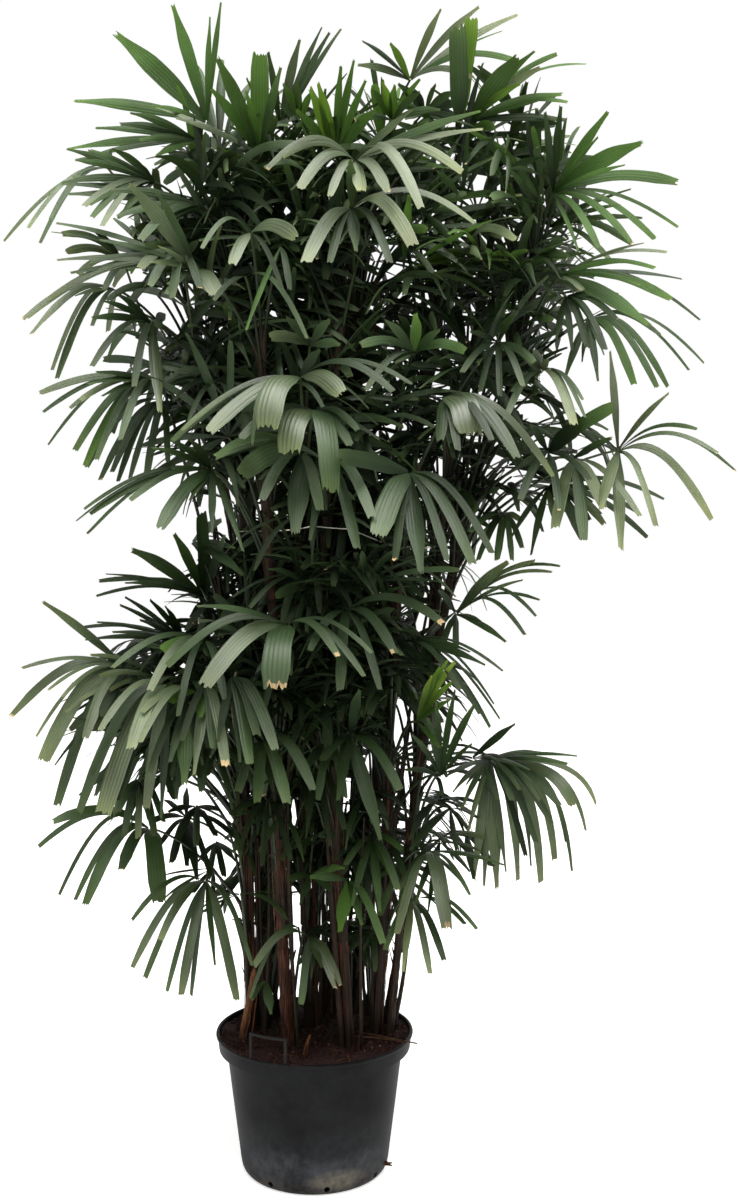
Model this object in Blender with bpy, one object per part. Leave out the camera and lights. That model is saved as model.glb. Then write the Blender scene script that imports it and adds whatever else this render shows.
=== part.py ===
"""Potted lady palm (a clump of slender canes with fan leaves) in a nursery pot.

Metres, +Z up, origin on the floor under the centre of the pot, -Y is the front.
The canes stand on the soil and run up through the foliage whole.  Each frond is
a thin fan blade with its stalk; what is left of the foliage is a few uneven
masses cut round the canes.  Places in the crown are given on a front elevation
drawing, as steps right and down from its top left corner plus a depth, and
`spot` turns them into a point.
"""
import bpy
import bmesh
import math
from mathutils import Vector
from mathutils.bvhtree import BVHTree

# ---------------------------------------------------------------- dimensions
POT_RIM_R = 0.2275          # outer radius of the rolled rim
POT_COLLAR_R = 0.2205       # outer radius of the collar's lower edge
POT_BODY_R = 0.2035         # outer radius of the wall just below the collar
POT_BASE_R = 0.1690         # outer radius at the turn of the base
POT_FOOT_R = 0.1560         # radius of the flat underside
POT_H = 0.320
COLLAR_H = 0.038
WALL = 0.0034
SIDES = 28
HOLES = 8
HOLE_R = 0.0065
SOIL_TOP = 0.2960
SOIL_EDGE = 0.2900
GAP = 0.0003

HANDLE_BAR = 0.0075         # square bar of the lifting bail
HANDLE_UP = 0.056
HANDLE_R = 0.2215           # radius at which the bail stands on the rim
HANDLE_A0 = -127.0          # degrees round the rim, where each leg stands
HANDLE_A1 = -104.5

BLADE = 0.0016              # thickness of a frond's blade
STALK = 0.0058              # side of a frond's stalk
ROOT_R = 0.030              # where the lobes leave the hub
LOBE_W = 0.037              # widest part of a lobe

# front elevation drawing: eye point, pitch, steps per unit of slope
EYE = Vector((0.127, -3.20, 1.48))
PITCH = math.radians(2.95)
STEPS = 1403.0
MID_U, MID_V = 369.5, 600.0


def spot(u, v, y):
    """Point at depth y that the elevation drawing shows at (u, v)."""
    run = y - EYE.y
    drop = math.tan(math.atan((v - MID_V) / STEPS) + PITCH)
    along = run * (math.cos(PITCH) + drop * math.sin(PITCH))
    return Vector((EYE.x + (u - MID_U) * along / STEPS, y, EYE.z - run * drop))


# ------------------------------------------------------------------- tables
# canes: name, foot (u, y), then (u, v, y) stations, foot radius, top radius
CANES = [
    ("cane_left_outer", (252, 0.030), [(247, 860, 0.030), (240, 720, 0.000), (222, 600, 0.020)], 0.0125, 0.0078),
    ("cane_left_front", (288, -0.040), [(279, 860, -0.060), (276, 680, -0.110), (266, 480, -0.130), (262, 330, -0.120)], 0.0160, 0.0085),
    ("cane_left_rear", (266, 0.105), [(262, 860, 0.110), (252, 660, 0.120), (240, 420, 0.090), (238, 215, 0.050)], 0.0140, 0.0080),
    ("cane_mid_left", (309, 0.060), [(304, 850, 0.050), (296, 650, 0.010), (304, 500, -0.060), (306, 400, -0.130)], 0.0115, 0.0078),
    ("cane_mid_front", (350, -0.060), [(339, 880, -0.080), (334, 740, -0.090), (322, 600, -0.100), (330, 470, -0.090), (340, 330, -0.060)], 0.0140, 0.0080),
    ("cane_mid_rear", (332, 0.135), [(338, 820, 0.150), (352, 600, 0.150), (356, 400, 0.110), (352, 240, 0.030)], 0.0120, 0.0078),
    ("cane_right_front", (378, 0.030), [(388, 850, 0.000), (392, 680, -0.040), (404, 540, -0.100), (409, 485, -0.170)], 0.0110, 0.0075),
    ("cane_right_rear", (372, 0.120), [(372, 850, 0.150), (392, 640, 0.180), (420, 420, 0.160), (452, 210, 0.100)], 0.0120, 0.0078),
    ("cane_right_lean", (385, 0.072), [(409, 880, 0.085), (418, 760, 0.080), (434, 620, 0.060), (444, 500, 0.010), (448, 420, -0.100)], 0.0105, 0.0075),
    ("cane_far_right", (389, 0.000), [(407, 860, 0.010), (428, 720, 0.010), (446, 600, 0.030), (473, 480, 0.080), (508, 390, 0.100), (536, 270, 0.060)], 0.0105, 0.0075),
    ("cane_rear_left", (286, 0.165), [(276, 800, 0.210), (236, 560, 0.260), (196, 330, 0.260)], 0.0115, 0.0075),
    ("cane_rear_mid", (312, 0.160), [(322, 760, 0.250), (340, 480, 0.300), (372, 200, 0.280)], 0.0115, 0.0075),
    ("cane_rear_right", (350, 0.152), [(378, 760, 0.240), (440, 520, 0.290), (488, 260, 0.270)], 0.0115, 0.0075),
    ("young_shoot", (241, -0.020), [(248, 1005, -0.030), (254, 972, -0.050)], 0.0085, 0.0060),
]

# foliage masses: name, centre (u, v, y), half sizes (x, y, z), lumps round it
MASSES = [
    ("mass_top_left", (256, 240, 0.170), (0.155, 0.100, 0.155), 5),
    ("mass_top_middle", (372, 290, 0.190), (0.100, 0.090, 0.165), 4),
    ("mass_top_right", (500, 280, 0.175), (0.150, 0.100, 0.160), 5),
    ("mass_left", (166, 330, 0.130), (0.105, 0.090, 0.120), 4),
    ("mass_middle_left", (250, 440, 0.060), (0.120, 0.105, 0.150), 4),
    ("mass_middle", (348, 532, 0.046), (0.104, 0.095, 0.172), 5),
    ("mass_middle_right", (462, 470, 0.170), (0.135, 0.100, 0.150), 4),
    ("mass_right", (578, 420, 0.090), (0.100, 0.090, 0.130), 5),
    ("mass_low_left", (206, 700, 0.090), (0.150, 0.105, 0.155), 5),
    ("mass_low_right", (366, 740, 0.120), (0.125, 0.090, 0.135), 4),
]

# fronds: name, hub (u, v, y), fan from and to (degrees on the drawing), lobes,
# lobe length, tilt of the fan (0 faces the front, 90 lies flat), turn of the fan
# about the upright, drop of the tips, rise of each lobe's arch, cane
FRONDS = [
    ("frond_top_left", (207, 122, 0.040), (83, 171), 5, 0.268, 0, 14, 0.00, 0.05, "cane_left_rear"),
    ("frond_top_left_inner", (260, 156, -0.060), (76, 154), 5, 0.245, 8, -16, 0.00, 0.05, "cane_left_rear"),
    ("frond_top", (415, 82, 0.120), (14, 164), 7, 0.205, -38, 10, 0.00, 0.06, "cane_rear_mid"),
    ("frond_top_right", (483, 135, 0.060), (24, 102), 5, 0.268, 0, 16, 0.00, 0.06, "cane_right_rear"),
    ("frond_right_upper", (558, 188, 0.000), (-56, 56), 7, 0.275, 0, -22, 0.00, 0.06, "cane_far_right"),
    ("frond_right_mid_upper", (545, 256, -0.150), (-46, 6), 4, 0.320, 8, 18, 0.00, 0.10, "cane_far_right"),
    ("frond_right_mid", (592, 318, 0.120), (-110, -18), 6, 0.245, 10, 24, 0.00, 0.14, "cane_far_right"),
    ("frond_right_outer", (617, 451, -0.080), (-95, 92), 8, 0.268, 4, -20, 0.00, 0.10, "cane_far_right"),
    ("frond_right_low", (545, 492, 0.150), (-105, -2), 6, 0.255, 0, 28, 0.00, 0.08, "cane_far_right"),
    ("frond_right_lower", (492, 759, 0.040), (-100, -12), 7, 0.285, 8, -18, 0.00, 0.16, "cane_right_lean"),
    ("frond_right_bend", (464, 606, 0.080), (-42, 44), 5, 0.215, 0, 20, 0.00, 0.12, "cane_right_lean"),
    ("frond_low_right", (420, 868, -0.110), (-104, -4), 5, 0.215, 10, -22, 0.00, 0.12, "cane_right_front"),
    ("frond_low_left_front", (206, 880, -0.100), (-132, -62), 6, 0.265, 0, 12, 0.00, 0.08, "cane_left_outer"),
    ("frond_low_left", (150, 828, 0.060), (176, 278), 6, 0.235, 0, -26, 0.00, 0.10, "cane_left_outer"),
    ("frond_left_lower", (128, 668, -0.060), (143, 248), 7, 0.285, 0, 18, 0.00, 0.12, "cane_left_outer"),
    ("frond_left_lower_front", (190, 688, -0.300), (228, 292), 5, 0.262, 20, 8, 0.00, 0.12, "cane_left_front"),
    ("frond_front_arching", (278, 626, -0.340), (-178, -4), 7, 0.262, 64, 0, 0.42, 0.20, "cane_left_front"),
    ("frond_front_upper_left", (302, 371, -0.350), (-170, -12), 7, 0.270, 58, 6, 0.50, 0.22, "cane_mid_left"),
    ("frond_front_middle", (409, 468, -0.330), (-186, -44), 7, 0.240, 34, -6, 0.25, 0.14, "cane_right_front"),
    ("frond_front_right", (446, 392, -0.380), (-72, -26), 4, 0.262, 28, -10, 0.10, 0.14, "cane_right_lean"),
    ("frond_front_top", (355, 160, -0.220), (-178, 16), 7, 0.240, 74, 0, 0.36, 0.18, "cane_mid_rear"),
    ("frond_front_top_left", (250, 232, -0.260), (-165, -15), 6, 0.180, 50, 8, 0.30, 0.20, "cane_left_front"),
    ("frond_left_upper", (196, 269, -0.150), (128, 224), 6, 0.300, 0, 16, 0.00, 0.06, "cane_rear_left"),
    ("frond_left_top_outer", (107, 167, 0.120), (150, 234), 5, 0.275, 0, -20, 0.00, 0.08, "cane_rear_left"),
    ("frond_left_middle", (158, 384, -0.020), (183, 242), 6, 0.260, 0, 26, 0.00, 0.14, "cane_rear_left"),
    ("frond_left_low_middle", (212, 470, -0.060), (196, 288), 6, 0.262, 12, -14, 0.00, 0.08, "cane_left_front"),
    ("frond_left_low", (205, 597, 0.110), (92, 176), 6, 0.200, 0, -22, 0.00, 0.06, "cane_left_outer"),
    ("frond_over_pot", (309, 938, -0.200), (-196, -60), 3, 0.150, 30, 0, 0.10, 0.14, "young_shoot"),
    ("frond_rear_top", (380, 190, 0.420), (10, 170), 6, 0.240, 66, 0, 0.30, 0.20, "cane_rear_mid"),
    ("frond_rear_left", (178, 350, 0.420), (60, 200), 5, 0.250, 64, 24, 0.42, 0.20, "cane_rear_left"),
    ("frond_rear_right", (530, 350, 0.420), (-20, 120), 5, 0.250, 64, -24, 0.42, 0.20, "cane_rear_right"),
    ("frond_rear_middle", (345, 520, 0.460), (10, 170), 6, 0.250, 64, 0, 0.45, 0.22, "cane_rear_mid"),
    ("frond_rear_low", (300, 720, 0.400), (20, 180), 5, 0.250, 62, 10, 0.45, 0.22, "cane_rear_left"),
]

# ------------------------------------------------------------------- set-up
for obj in list(bpy.data.objects):
    bpy.data.objects.remove(obj, do_unlink=True)
for old in list(bpy.data.materials):
    bpy.data.materials.remove(old)

PARTS = bpy.data.collections.new("lady_palm")
bpy.context.scene.collection.children.link(PARTS)
CUTS = bpy.data.collections.new("cutters")
bpy.context.scene.collection.children.link(CUTS)


def material(name, rgb, rough):
    mat = bpy.data.materials.new(name)
    mat.use_nodes = True
    node = mat.node_tree.nodes["Principled BSDF"]
    node.inputs["Base Color"].default_value = (*rgb, 1.0)
    node.inputs["Roughness"].default_value = rough
    mat.diffuse_color = (*rgb, 1.0)
    return mat


MATS = {
    "pot": material("pot", (0.030, 0.032, 0.034), 0.55),
    "soil": material("soil", (0.070, 0.035, 0.025), 0.95),
    "cane": material("cane", (0.110, 0.055, 0.035), 0.85),
    "frond": material("frond", (0.070, 0.130, 0.045), 0.50),
    "mass": material("mass", (0.040, 0.080, 0.030), 0.80),
}


def add_mesh(name, verts, faces, mat, home=PARTS):
    mesh = bpy.data.meshes.new(name)
    mesh.from_pydata([tuple(v) for v in verts], [], faces)
    mesh.validate()
    bm = bmesh.new()
    bm.from_mesh(mesh)
    bmesh.ops.triangulate(bm, faces=[f for f in bm.faces if len(f.verts) > 3])
    bmesh.ops.recalc_face_normals(bm, faces=bm.faces[:])
    bm.to_mesh(mesh)
    bm.free()
    obj = bpy.data.objects.new(name, mesh)
    home.objects.link(obj)
    if mat:
        mesh.materials.append(MATS[mat])
    return obj


def settled(obj):
    """The object's mesh with its modifiers applied, kept on the object."""
    bpy.context.view_layer.update()
    graph = bpy.context.evaluated_depsgraph_get()
    mesh = bpy.data.meshes.new_from_object(obj.evaluated_get(graph))
    obj.modifiers.clear()
    obj.data = mesh
    bm = bmesh.new()
    bm.from_mesh(mesh)
    bmesh.ops.remove_doubles(bm, verts=bm.verts[:], dist=0.00001)
    bmesh.ops.triangulate(bm, faces=bm.faces[:])
    bm.to_mesh(mesh)
    bm.free()
    return obj


def tree_of(obj):
    bm = bmesh.new()
    bm.from_mesh(obj.data)
    tree = BVHTree.FromBMesh(bm)
    bm.free()
    return tree


def cut(obj, tool, name):
    tool.display_type = "WIRE"
    tool.hide_render = True
    mod = obj.modifiers.new(name, "BOOLEAN")
    mod.operation = "DIFFERENCE"
    mod.solver = "EXACT"
    mod.object = tool


def lathe(name, outline, sides, mat):
    """Closed solid turned from a closed outline of (radius, height)."""
    verts, faces, rings = [], [], []
    for r, z in outline:
        if r < 1e-6:
            rings.append([len(verts)])
            verts.append((0, 0, z))
        else:
            rings.append(list(range(len(verts), len(verts) + sides)))
            for k in range(sides):
                a = 2 * math.pi * (k + 0.5) / sides
                verts.append((r * math.cos(a), r * math.sin(a), z))
    for a, b in zip(rings, rings[1:]):
        for k in range(sides):
            n = (k + 1) % sides
            if len(a) == 1:
                faces.append((a[0], b[n], b[k]))
            elif len(b) == 1:
                faces.append((a[k], a[n], b[0]))
            else:
                faces.append((a[k], a[n], b[n], b[k]))
    return add_mesh(name, verts, faces, mat)


# ----------------------------------------------------------------- pot, soil
lip_r = POT_RIM_R
inner_top = POT_RIM_R - 0.0060
inner_low = POT_BASE_R - WALL
pot = lathe("pot", [
    (0.0, 0.0), (POT_FOOT_R, 0.0), (POT_BASE_R - 0.004, 0.0075), (POT_BASE_R, 0.0180),
    (POT_BODY_R, POT_H - COLLAR_H), (POT_COLLAR_R, POT_H - COLLAR_H + 0.0015),
    (lip_r - 0.0015, POT_H - 0.0075), (lip_r, POT_H - 0.0035), (lip_r - 0.0030, POT_H),
    (inner_top, POT_H - 0.0015), (POT_BODY_R - WALL, POT_H - COLLAR_H + 0.004),
    (inner_low, 0.0200), (POT_FOOT_R - 0.004, 0.0048), (0.0, 0.0048),
], SIDES, "pot")
for k in range(HOLES):
    a = 2 * math.pi * (k + 0.25) / HOLES
    out = Vector((math.cos(a), math.sin(a), -0.35)).normalized()
    middle = Vector((math.cos(a), math.sin(a), 0)) * (POT_BASE_R - 0.004) + Vector((0, 0, 0.0135))
    side = Vector((-math.sin(a), math.cos(a), 0))
    up = out.cross(side)
    ring = [(side * math.cos(t) + up * math.sin(t)) * HOLE_R for t in [math.pi * j / 3 for j in range(6)]]
    verts = [middle - out * 0.012 + p for p in ring] + [middle + out * 0.012 + p for p in ring]
    faces = [(j, (j + 1) % 6, 6 + (j + 1) % 6, 6 + j) for j in range(6)]
    faces += [tuple(range(5, -1, -1)), tuple(range(6, 12))]
    cut(pot, add_mesh("hole_cutter_%d" % k, verts, faces, None, CUTS), "drain_%d" % k)
settled(pot)


def wall_r(z):
    """Inner radius of the pot at height z."""
    low, high = 0.0200, POT_H - COLLAR_H + 0.004
    t = (z - low) / (high - low)
    return inner_low + (POT_BODY_R - WALL - inner_low) * min(max(t, 0.0), 1.0)


clear = 0.0015
soil = lathe("soil", [
    (0.0, 0.0062), (POT_FOOT_R - 0.010, 0.0062), (inner_low - 0.004, 0.0225),
    (wall_r(0.285) - clear, 0.283), (wall_r(0.285) - clear - 0.001, SOIL_EDGE - 0.001),
    (0.185, SOIL_TOP), (0.0, SOIL_TOP),
], SIDES, "soil")


def bar(name, path, size, mat):
    """Square bar swept along a path, flat ends."""
    verts, faces = [], []
    for k, p in enumerate(path):
        t = (path[min(k + 1, len(path) - 1)] - path[max(k - 1, 0)]).normalized()
        out = Vector((p.x, p.y, 0)).normalized()
        side = t.cross(out).normalized()
        out = side.cross(t).normalized()
        wide = 1.0 / max(0.75, abs(t.dot((path[min(k + 1, len(path) - 1)] - p).normalized())) if k + 1 < len(path) and k else 1.0)
        for a, b in ((-1, -1), (1, -1), (1, 1), (-1, 1)):
            verts.append(p + side * a * size / 2 * wide + out * b * size * 0.3)
    n = len(path)
    for k in range(n - 1):
        for j in range(4):
            i = (j + 1) % 4
            faces.append((4 * k + j, 4 * k + i, 4 * k + 4 + i, 4 * k + 4 + j))
    faces += [(3, 2, 1, 0), (4 * n - 4, 4 * n - 3, 4 * n - 2, 4 * n - 1)]
    return add_mesh(name, verts, faces, mat)


def on_rim(deg, z, r=HANDLE_R):
    a = math.radians(deg)
    return Vector((r * math.cos(a), r * math.sin(a), z))


foot_z = POT_H + GAP
top_z = POT_H + HANDLE_UP
turn = 2.3
bail = [on_rim(HANDLE_A0, foot_z), on_rim(HANDLE_A0, top_z - 0.010), on_rim(HANDLE_A0 + turn * 0.7, top_z - 0.001)]
bail += [on_rim(HANDLE_A0 + (HANDLE_A1 - HANDLE_A0) * t, top_z) for t in (0.25, 0.5, 0.75)]
bail += [on_rim(HANDLE_A1 - turn * 0.7, top_z - 0.001), on_rim(HANDLE_A1, top_z - 0.010), on_rim(HANDLE_A1, foot_z)]
bar("pot_handle", bail, HANDLE_BAR, "pot")


# --------------------------------------------------------------------- canes
def catmull(points, t):
    """Smooth curve through the points, t from 0 to 1 over the whole run."""
    n = len(points) - 1
    x = min(max(t, 0.0), 1.0) * n
    k = min(int(x), n - 1)
    f = x - k
    p1, p2 = points[k], points[k + 1]
    p0 = points[k - 1] if k else p1 * 2 - p2
    p3 = points[k + 2] if k + 2 <= n else p2 * 2 - p1
    return 0.5 * (p1 * 2 + (p2 - p0) * f + (p0 * 2 - p1 * 5 + p2 * 4 - p3) * f * f
                  + (p1 * 3 - p0 - p2 * 3 + p3) * f * f * f)


def cane_points(foot, stations):
    u, y = foot
    lo, hi = 600.0, 1300.0
    for _ in range(40):
        mid = (lo + hi) / 2
        if spot(u, mid, y).z > SOIL_TOP + GAP:
            lo = mid
        else:
            hi = mid
    base = spot(u, lo, y)
    base.z = SOIL_TOP + GAP
    return [base] + [spot(*s) for s in stations]


def tube(points, radii, sides):
    verts, faces = [], []
    n = len(points)
    for k, (p, r) in enumerate(zip(points, radii)):
        t = (points[min(k + 1, n - 1)] - points[max(k - 1, 0)]).normalized()
        if k == 0:
            t = Vector((0, 0, 1))
        e1 = Vector((1, 0, 0)) - t * t.x
        e1.normalize()
        e2 = t.cross(e1)
        for j in range(sides):
            a = 2 * math.pi * j / sides + 0.4
            verts.append(p + (e1 * math.cos(a) + e2 * math.sin(a)) * r)
    for k in range(n - 1):
        for j in range(sides):
            i = (j + 1) % sides
            faces.append((k * sides + j, k * sides + i, (k + 1) * sides + i, (k + 1) * sides + j))
    faces.append(tuple(range(sides - 1, -1, -1)))
    faces.append(tuple(range((n - 1) * sides, n * sides)))
    return verts, faces


CANE_RUN = {}
placed = []
cane_clear_v, cane_clear_f = [], []
for name, foot, stations, r0, r1 in CANES:
    path = cane_points(foot, stations)
    rows = 4 if name == "young_shoot" else 7
    pts = [catmull(path, k / (rows - 1)) for k in range(rows)]
    radii = [r0 + (r1 - r0) * (k / (rows - 1)) for k in range(rows)]
    radii[0] = r0 * 1.22                      # flare where it leaves the soil
    verts, faces = tube(pts, radii, 6)
    obj = add_mesh(name, verts, faces, "cane")
    CANE_RUN[name] = (pts, radii)
    placed.append((name, tree_of(obj)))
    verts, faces = tube(pts, [r + 0.0012 for r in radii], 6)
    for f in faces:
        cane_clear_f.append(tuple(i + len(cane_clear_v) for i in f))
    cane_clear_v += verts
cane_tool = add_mesh("cane_clearance", cane_clear_v, cane_clear_f, None, CUTS)

for i in range(len(placed)):
    for j in range(i):
        if placed[i][1].overlap(placed[j][1]):
            print("CANES CROSS", placed[i][0], placed[j][0])


# -------------------------------------------------------------------- masses
def lump(name, centre, half, lumps, seed):
    """Closed uneven solid: a ball of the three half sizes with rounded lumps."""
    around, levels = 12, 7
    verts, faces = [], []
    for i in range(1, levels):
        th = math.pi * i / levels
        for j in range(around):
            ph = 2 * math.pi * j / around
            n = Vector((math.sin(th) * math.cos(ph), math.sin(th) * math.sin(ph), math.cos(th)))
            swell = 1.0 + 0.13 * math.sin(lumps * ph + 1.7 * seed) * math.sin(th) \
                + 0.11 * math.cos(3 * th + 0.9 * seed + 2 * ph) + 0.06 * math.sin(5 * th + 3 * ph + seed)
            verts.append(centre + Vector((n.x * half[0], n.y * half[1], n.z * half[2])) * swell)
    top = len(verts)
    verts.append(centre + Vector((0, 0, half[2] * 1.02)))
    verts.append(centre - Vector((0, 0, half[2] * 0.98)))
    for i in range(levels - 2):
        for j in range(around):
            k = (j + 1) % around
            faces.append((i * around + j, (i + 1) * around + j, (i + 1) * around + k, i * around + k))
    for j in range(around):
        k = (j + 1) % around
        faces.append((top, j, k))
        faces.append((top + 1, (levels - 2) * around + k, (levels - 2) * around + j))
    return add_mesh(name, verts, faces, "mass")


MASS_TREE = []
for seed, (name, where, half, lumps) in enumerate(MASSES):
    obj = lump(name, spot(*where), half, lumps, seed + 1)
    cut(obj, cane_tool, "round_the_canes")
    settled(obj)
    tree = tree_of(obj)
    for other, old in MASS_TREE:
        if tree.overlap(old):
            print("MASSES CROSS", name, other)
    MASS_TREE.append((name, tree))
    placed.append((name, tree))


def inside(tree, p):
    """True when p lies inside the closed solid of the tree."""
    hits, at, way = 0, p.copy(), Vector((0.0123, 0.0071, 1.0)).normalized()
    while hits < 40:
        loc, _, _, _ = tree.ray_cast(at, way)
        if loc is None:
            break
        hits += 1
        at = loc + way * 1e-5
    return hits % 2 == 1


def near_cane(p, margin):
    for pts, radii in CANE_RUN.values():
        for k in range(len(pts) - 1):
            a, b = pts[k], pts[k + 1]
            ab = b - a
            t = min(max((p - a).dot(ab) / ab.length_squared, 0.0), 1.0)
            if (p - (a + ab * t)).length < max(radii[k], radii[k + 1]) + margin:
                return True
    return False


def in_mass(p):
    for _, tree in MASS_TREE:
        loc, nor, _, dist = tree.find_nearest(p)
        if dist is not None and (dist < 0.0055 or inside(tree, p)):
            return True
    return False


# -------------------------------------------------------------------- fronds
def stalk_path(hub, back, cane):
    """Points from under the hub to where the stalk meets its cane or a mass."""
    pts, _ = CANE_RUN[cane]
    reach = 0.16 if cane != "young_shoot" else 0.0
    want = hub.z - reach
    target = min(pts, key=lambda p: abs(p.z - want) + 0.3 * (p - hub).length)
    start = hub + back * 0.006
    bend = hub * 0.72 + target * 0.28 + back * 0.030
    path = []
    steps = 40
    for k in range(steps + 1):
        t = k / steps
        p = start * (1 - t) ** 2 + bend * 2 * t * (1 - t) + target * t * t
        if k > 2 and (near_cane(p, 0.0052) or in_mass(p)):
            break
        path.append(p)
    if len(path) < 5:
        path = [start, start + back * 0.006, start + back * 0.012]
    ks = [0, 2, len(path) // 2, len(path) - 1] if len(path) > 8 else [0, len(path) // 2, len(path) - 1]
    return [path[k] for k in ks]


def frond(hub, fan, lobes, length, tilt, turn, drop, arch, cane):
    tau, psi = math.radians(tilt), math.radians(turn)
    e1 = Vector((math.cos(psi), math.sin(psi), 0))
    e2 = Vector((-math.sin(psi) * math.sin(tau), math.cos(psi) * math.sin(tau), math.cos(tau)))
    face = e1.cross(e2)
    a0, a1 = sorted(math.radians(a) for a in fan)
    gap = (a1 - a0) / max(lobes - 1, 1)
    wide = min(LOBE_W, gap * length * 0.53)          # neighbouring lobes stay apart
    verts, faces = [], []
    ring_top, ring_low, ring_ang = [], [], []

    def put(p, n):
        verts.append(p)
        verts.append(p - n * BLADE)
        return len(verts) - 2

    for i in range(lobes):
        a = a0 + gap * i
        way = e1 * math.cos(a) + e2 * math.sin(a)
        way.z -= drop * (0.35 + 0.65 * abs(way.y))
        way.normalize()
        across = face.cross(way).normalized()
        size = length * (1.0 - 0.10 * abs(2 * i / max(lobes - 1, 1) - 1) + 0.03 * math.sin(2.3 * i + hub.x * 40))
        tip = hub + way * size
        ctrl = (hub + tip) * 0.5 + Vector((0, 0, arch * size))
        rows = []
        for t, w in ((0.0, 0.010), (0.62, wide), (1.0, wide * 0.28)):
            if t == 0.0:
                flat = (way - face * way.dot(face))
                if flat.length < 0.3:
                    flat = e1 * math.cos(a) + e2 * math.sin(a)
                flat.normalize()
                p = hub + flat * ROOT_R
                turned = face.cross(flat)
                normal = face
            else:
                p = hub * (1 - t) ** 2 + ctrl * 2 * t * (1 - t) + tip * t * t
                turned = across
                run = ((ctrl - hub) * (1 - t) + (tip - ctrl) * t).normalized()
                normal = run.cross(across).normalized()
            half = min(w / 2, ROOT_R * math.tan(max(gap, 0.16) / 2) * 0.8) if t == 0.0 else w / 2
            rows.append((put(p - turned * half, normal), put(p + turned * half, normal)))
        for (ra, la), (rb, lb) in zip(rows, rows[1:]):
            faces.append((ra, rb, lb, la))
            faces.append((ra + 1, la + 1, lb + 1, rb + 1))
            faces.append((ra, ra + 1, rb + 1, rb))
            faces.append((la, lb, lb + 1, la + 1))
        rz, lz = rows[-1]
        faces.append((rz, rz + 1, lz + 1, lz))
        ring_top += [rows[0][0], rows[0][1]]
        ring_ang += [a - 0.12, a + 0.12]
    mid = (a0 + a1) / 2 + math.pi
    spare = 2 * math.pi - (a1 - a0)
    for off in ((-0.22, 0.22) if spare > 1.2 else (0.0,)):
        a = mid + off * spare
        ring_top.append(put(hub + (e1 * math.cos(a) + e2 * math.sin(a)) * 0.011, face))
        ring_ang.append(a)
    m = len(ring_top)
    lobes_in_ring = 2 * lobes
    centre = len(verts)
    verts.append(hub.copy())
    for j in range(m):
        k = (j + 1) % m
        faces.append((centre, ring_top[j], ring_top[k]))
        if not (j < lobes_in_ring and j % 2 == 0):          # lobe roots stay open
            faces.append((ring_top[j], ring_top[j] + 1, ring_top[k] + 1, ring_top[k]))
    path = stalk_path(hub, -face, cane)
    base_ang = ring_ang[0] - 0.01
    rows = []
    u, w = e1.copy(), e2.copy()
    for k, p in enumerate(path):
        t = (path[min(k + 1, len(path) - 1)] - path[max(k - 1, 0)]).normalized()
        if k == 0:
            t = -face
        u = (u - t * u.dot(t)).normalized()
        w = (w - t * w.dot(t))
        w = (w - u * w.dot(u)).normalized()
        row = []
        for j in range(4):
            a = base_ang + math.pi / 2 * j + math.pi / 4
            row.append(len(verts))
            verts.append(p + (u * math.cos(a) + w * math.sin(a)) * STALK * 0.62)
        rows.append(row)

    def nearest(j):
        return int(((ring_ang[j] - base_ang) % (2 * math.pi)) / (math.pi / 2)) % 4

    first = rows[0]
    for j in range(m):
        k = (j + 1) % m
        s, e = nearest(j), nearest(k)
        faces.append((ring_top[k] + 1, ring_top[j] + 1, first[s]))
        while s != e:
            nxt = (s + 1) % 4
            faces.append((ring_top[k] + 1, first[s], first[nxt]))
            s = nxt
    for a, b in zip(rows, rows[1:]):
        for j in range(4):
            i = (j + 1) % 4
            faces.append((a[j], b[j], b[i], a[i]))
    faces.append(tuple(rows[-1]))
    return verts, faces


def moved(k):
    """Depth steps tried in turn: 0, +1, -1, +2, -2 ..."""
    return 0 if k == 0 else (k + 1) // 2 * (1 if k % 2 else -1)


for name, where, fan, lobes, length, tilt, turn, drop, arch, cane in FRONDS:
    for k in range(41):
        hub = spot(where[0], where[1], where[2] + 0.012 * moved(k))
        if in_mass(hub):
            continue
        verts, faces = frond(hub, fan, lobes, length, tilt, turn, drop, arch, cane)
        tri = [p for f in faces for p in [(f[0], f[i], f[i + 1]) for i in range(1, len(f) - 1)]]
        tree = BVHTree.FromPolygons([tuple(v) for v in verts], tri)
        hits = [other for other, old in placed if tree.overlap(old)]
        if not hits:
            break
    else:
        print("NO ROOM", name, hits)
        continue
    if k:
        print("MOVED", name, 0.012 * moved(k))
    obj = add_mesh(name, verts, faces, "frond")
    placed.append((name, tree_of(obj)))

total = 0
for obj in PARTS.objects:
    obj.data.calc_loop_triangles()
    total += len(obj.data.loop_triangles)
    for poly in obj.data.polygons:
        poly.use_smooth = obj.name.startswith("cane") or obj.name in ("pot", "young_shoot")
print("NODES", len(PARTS.objects), "TRIANGLES", total)
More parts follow.
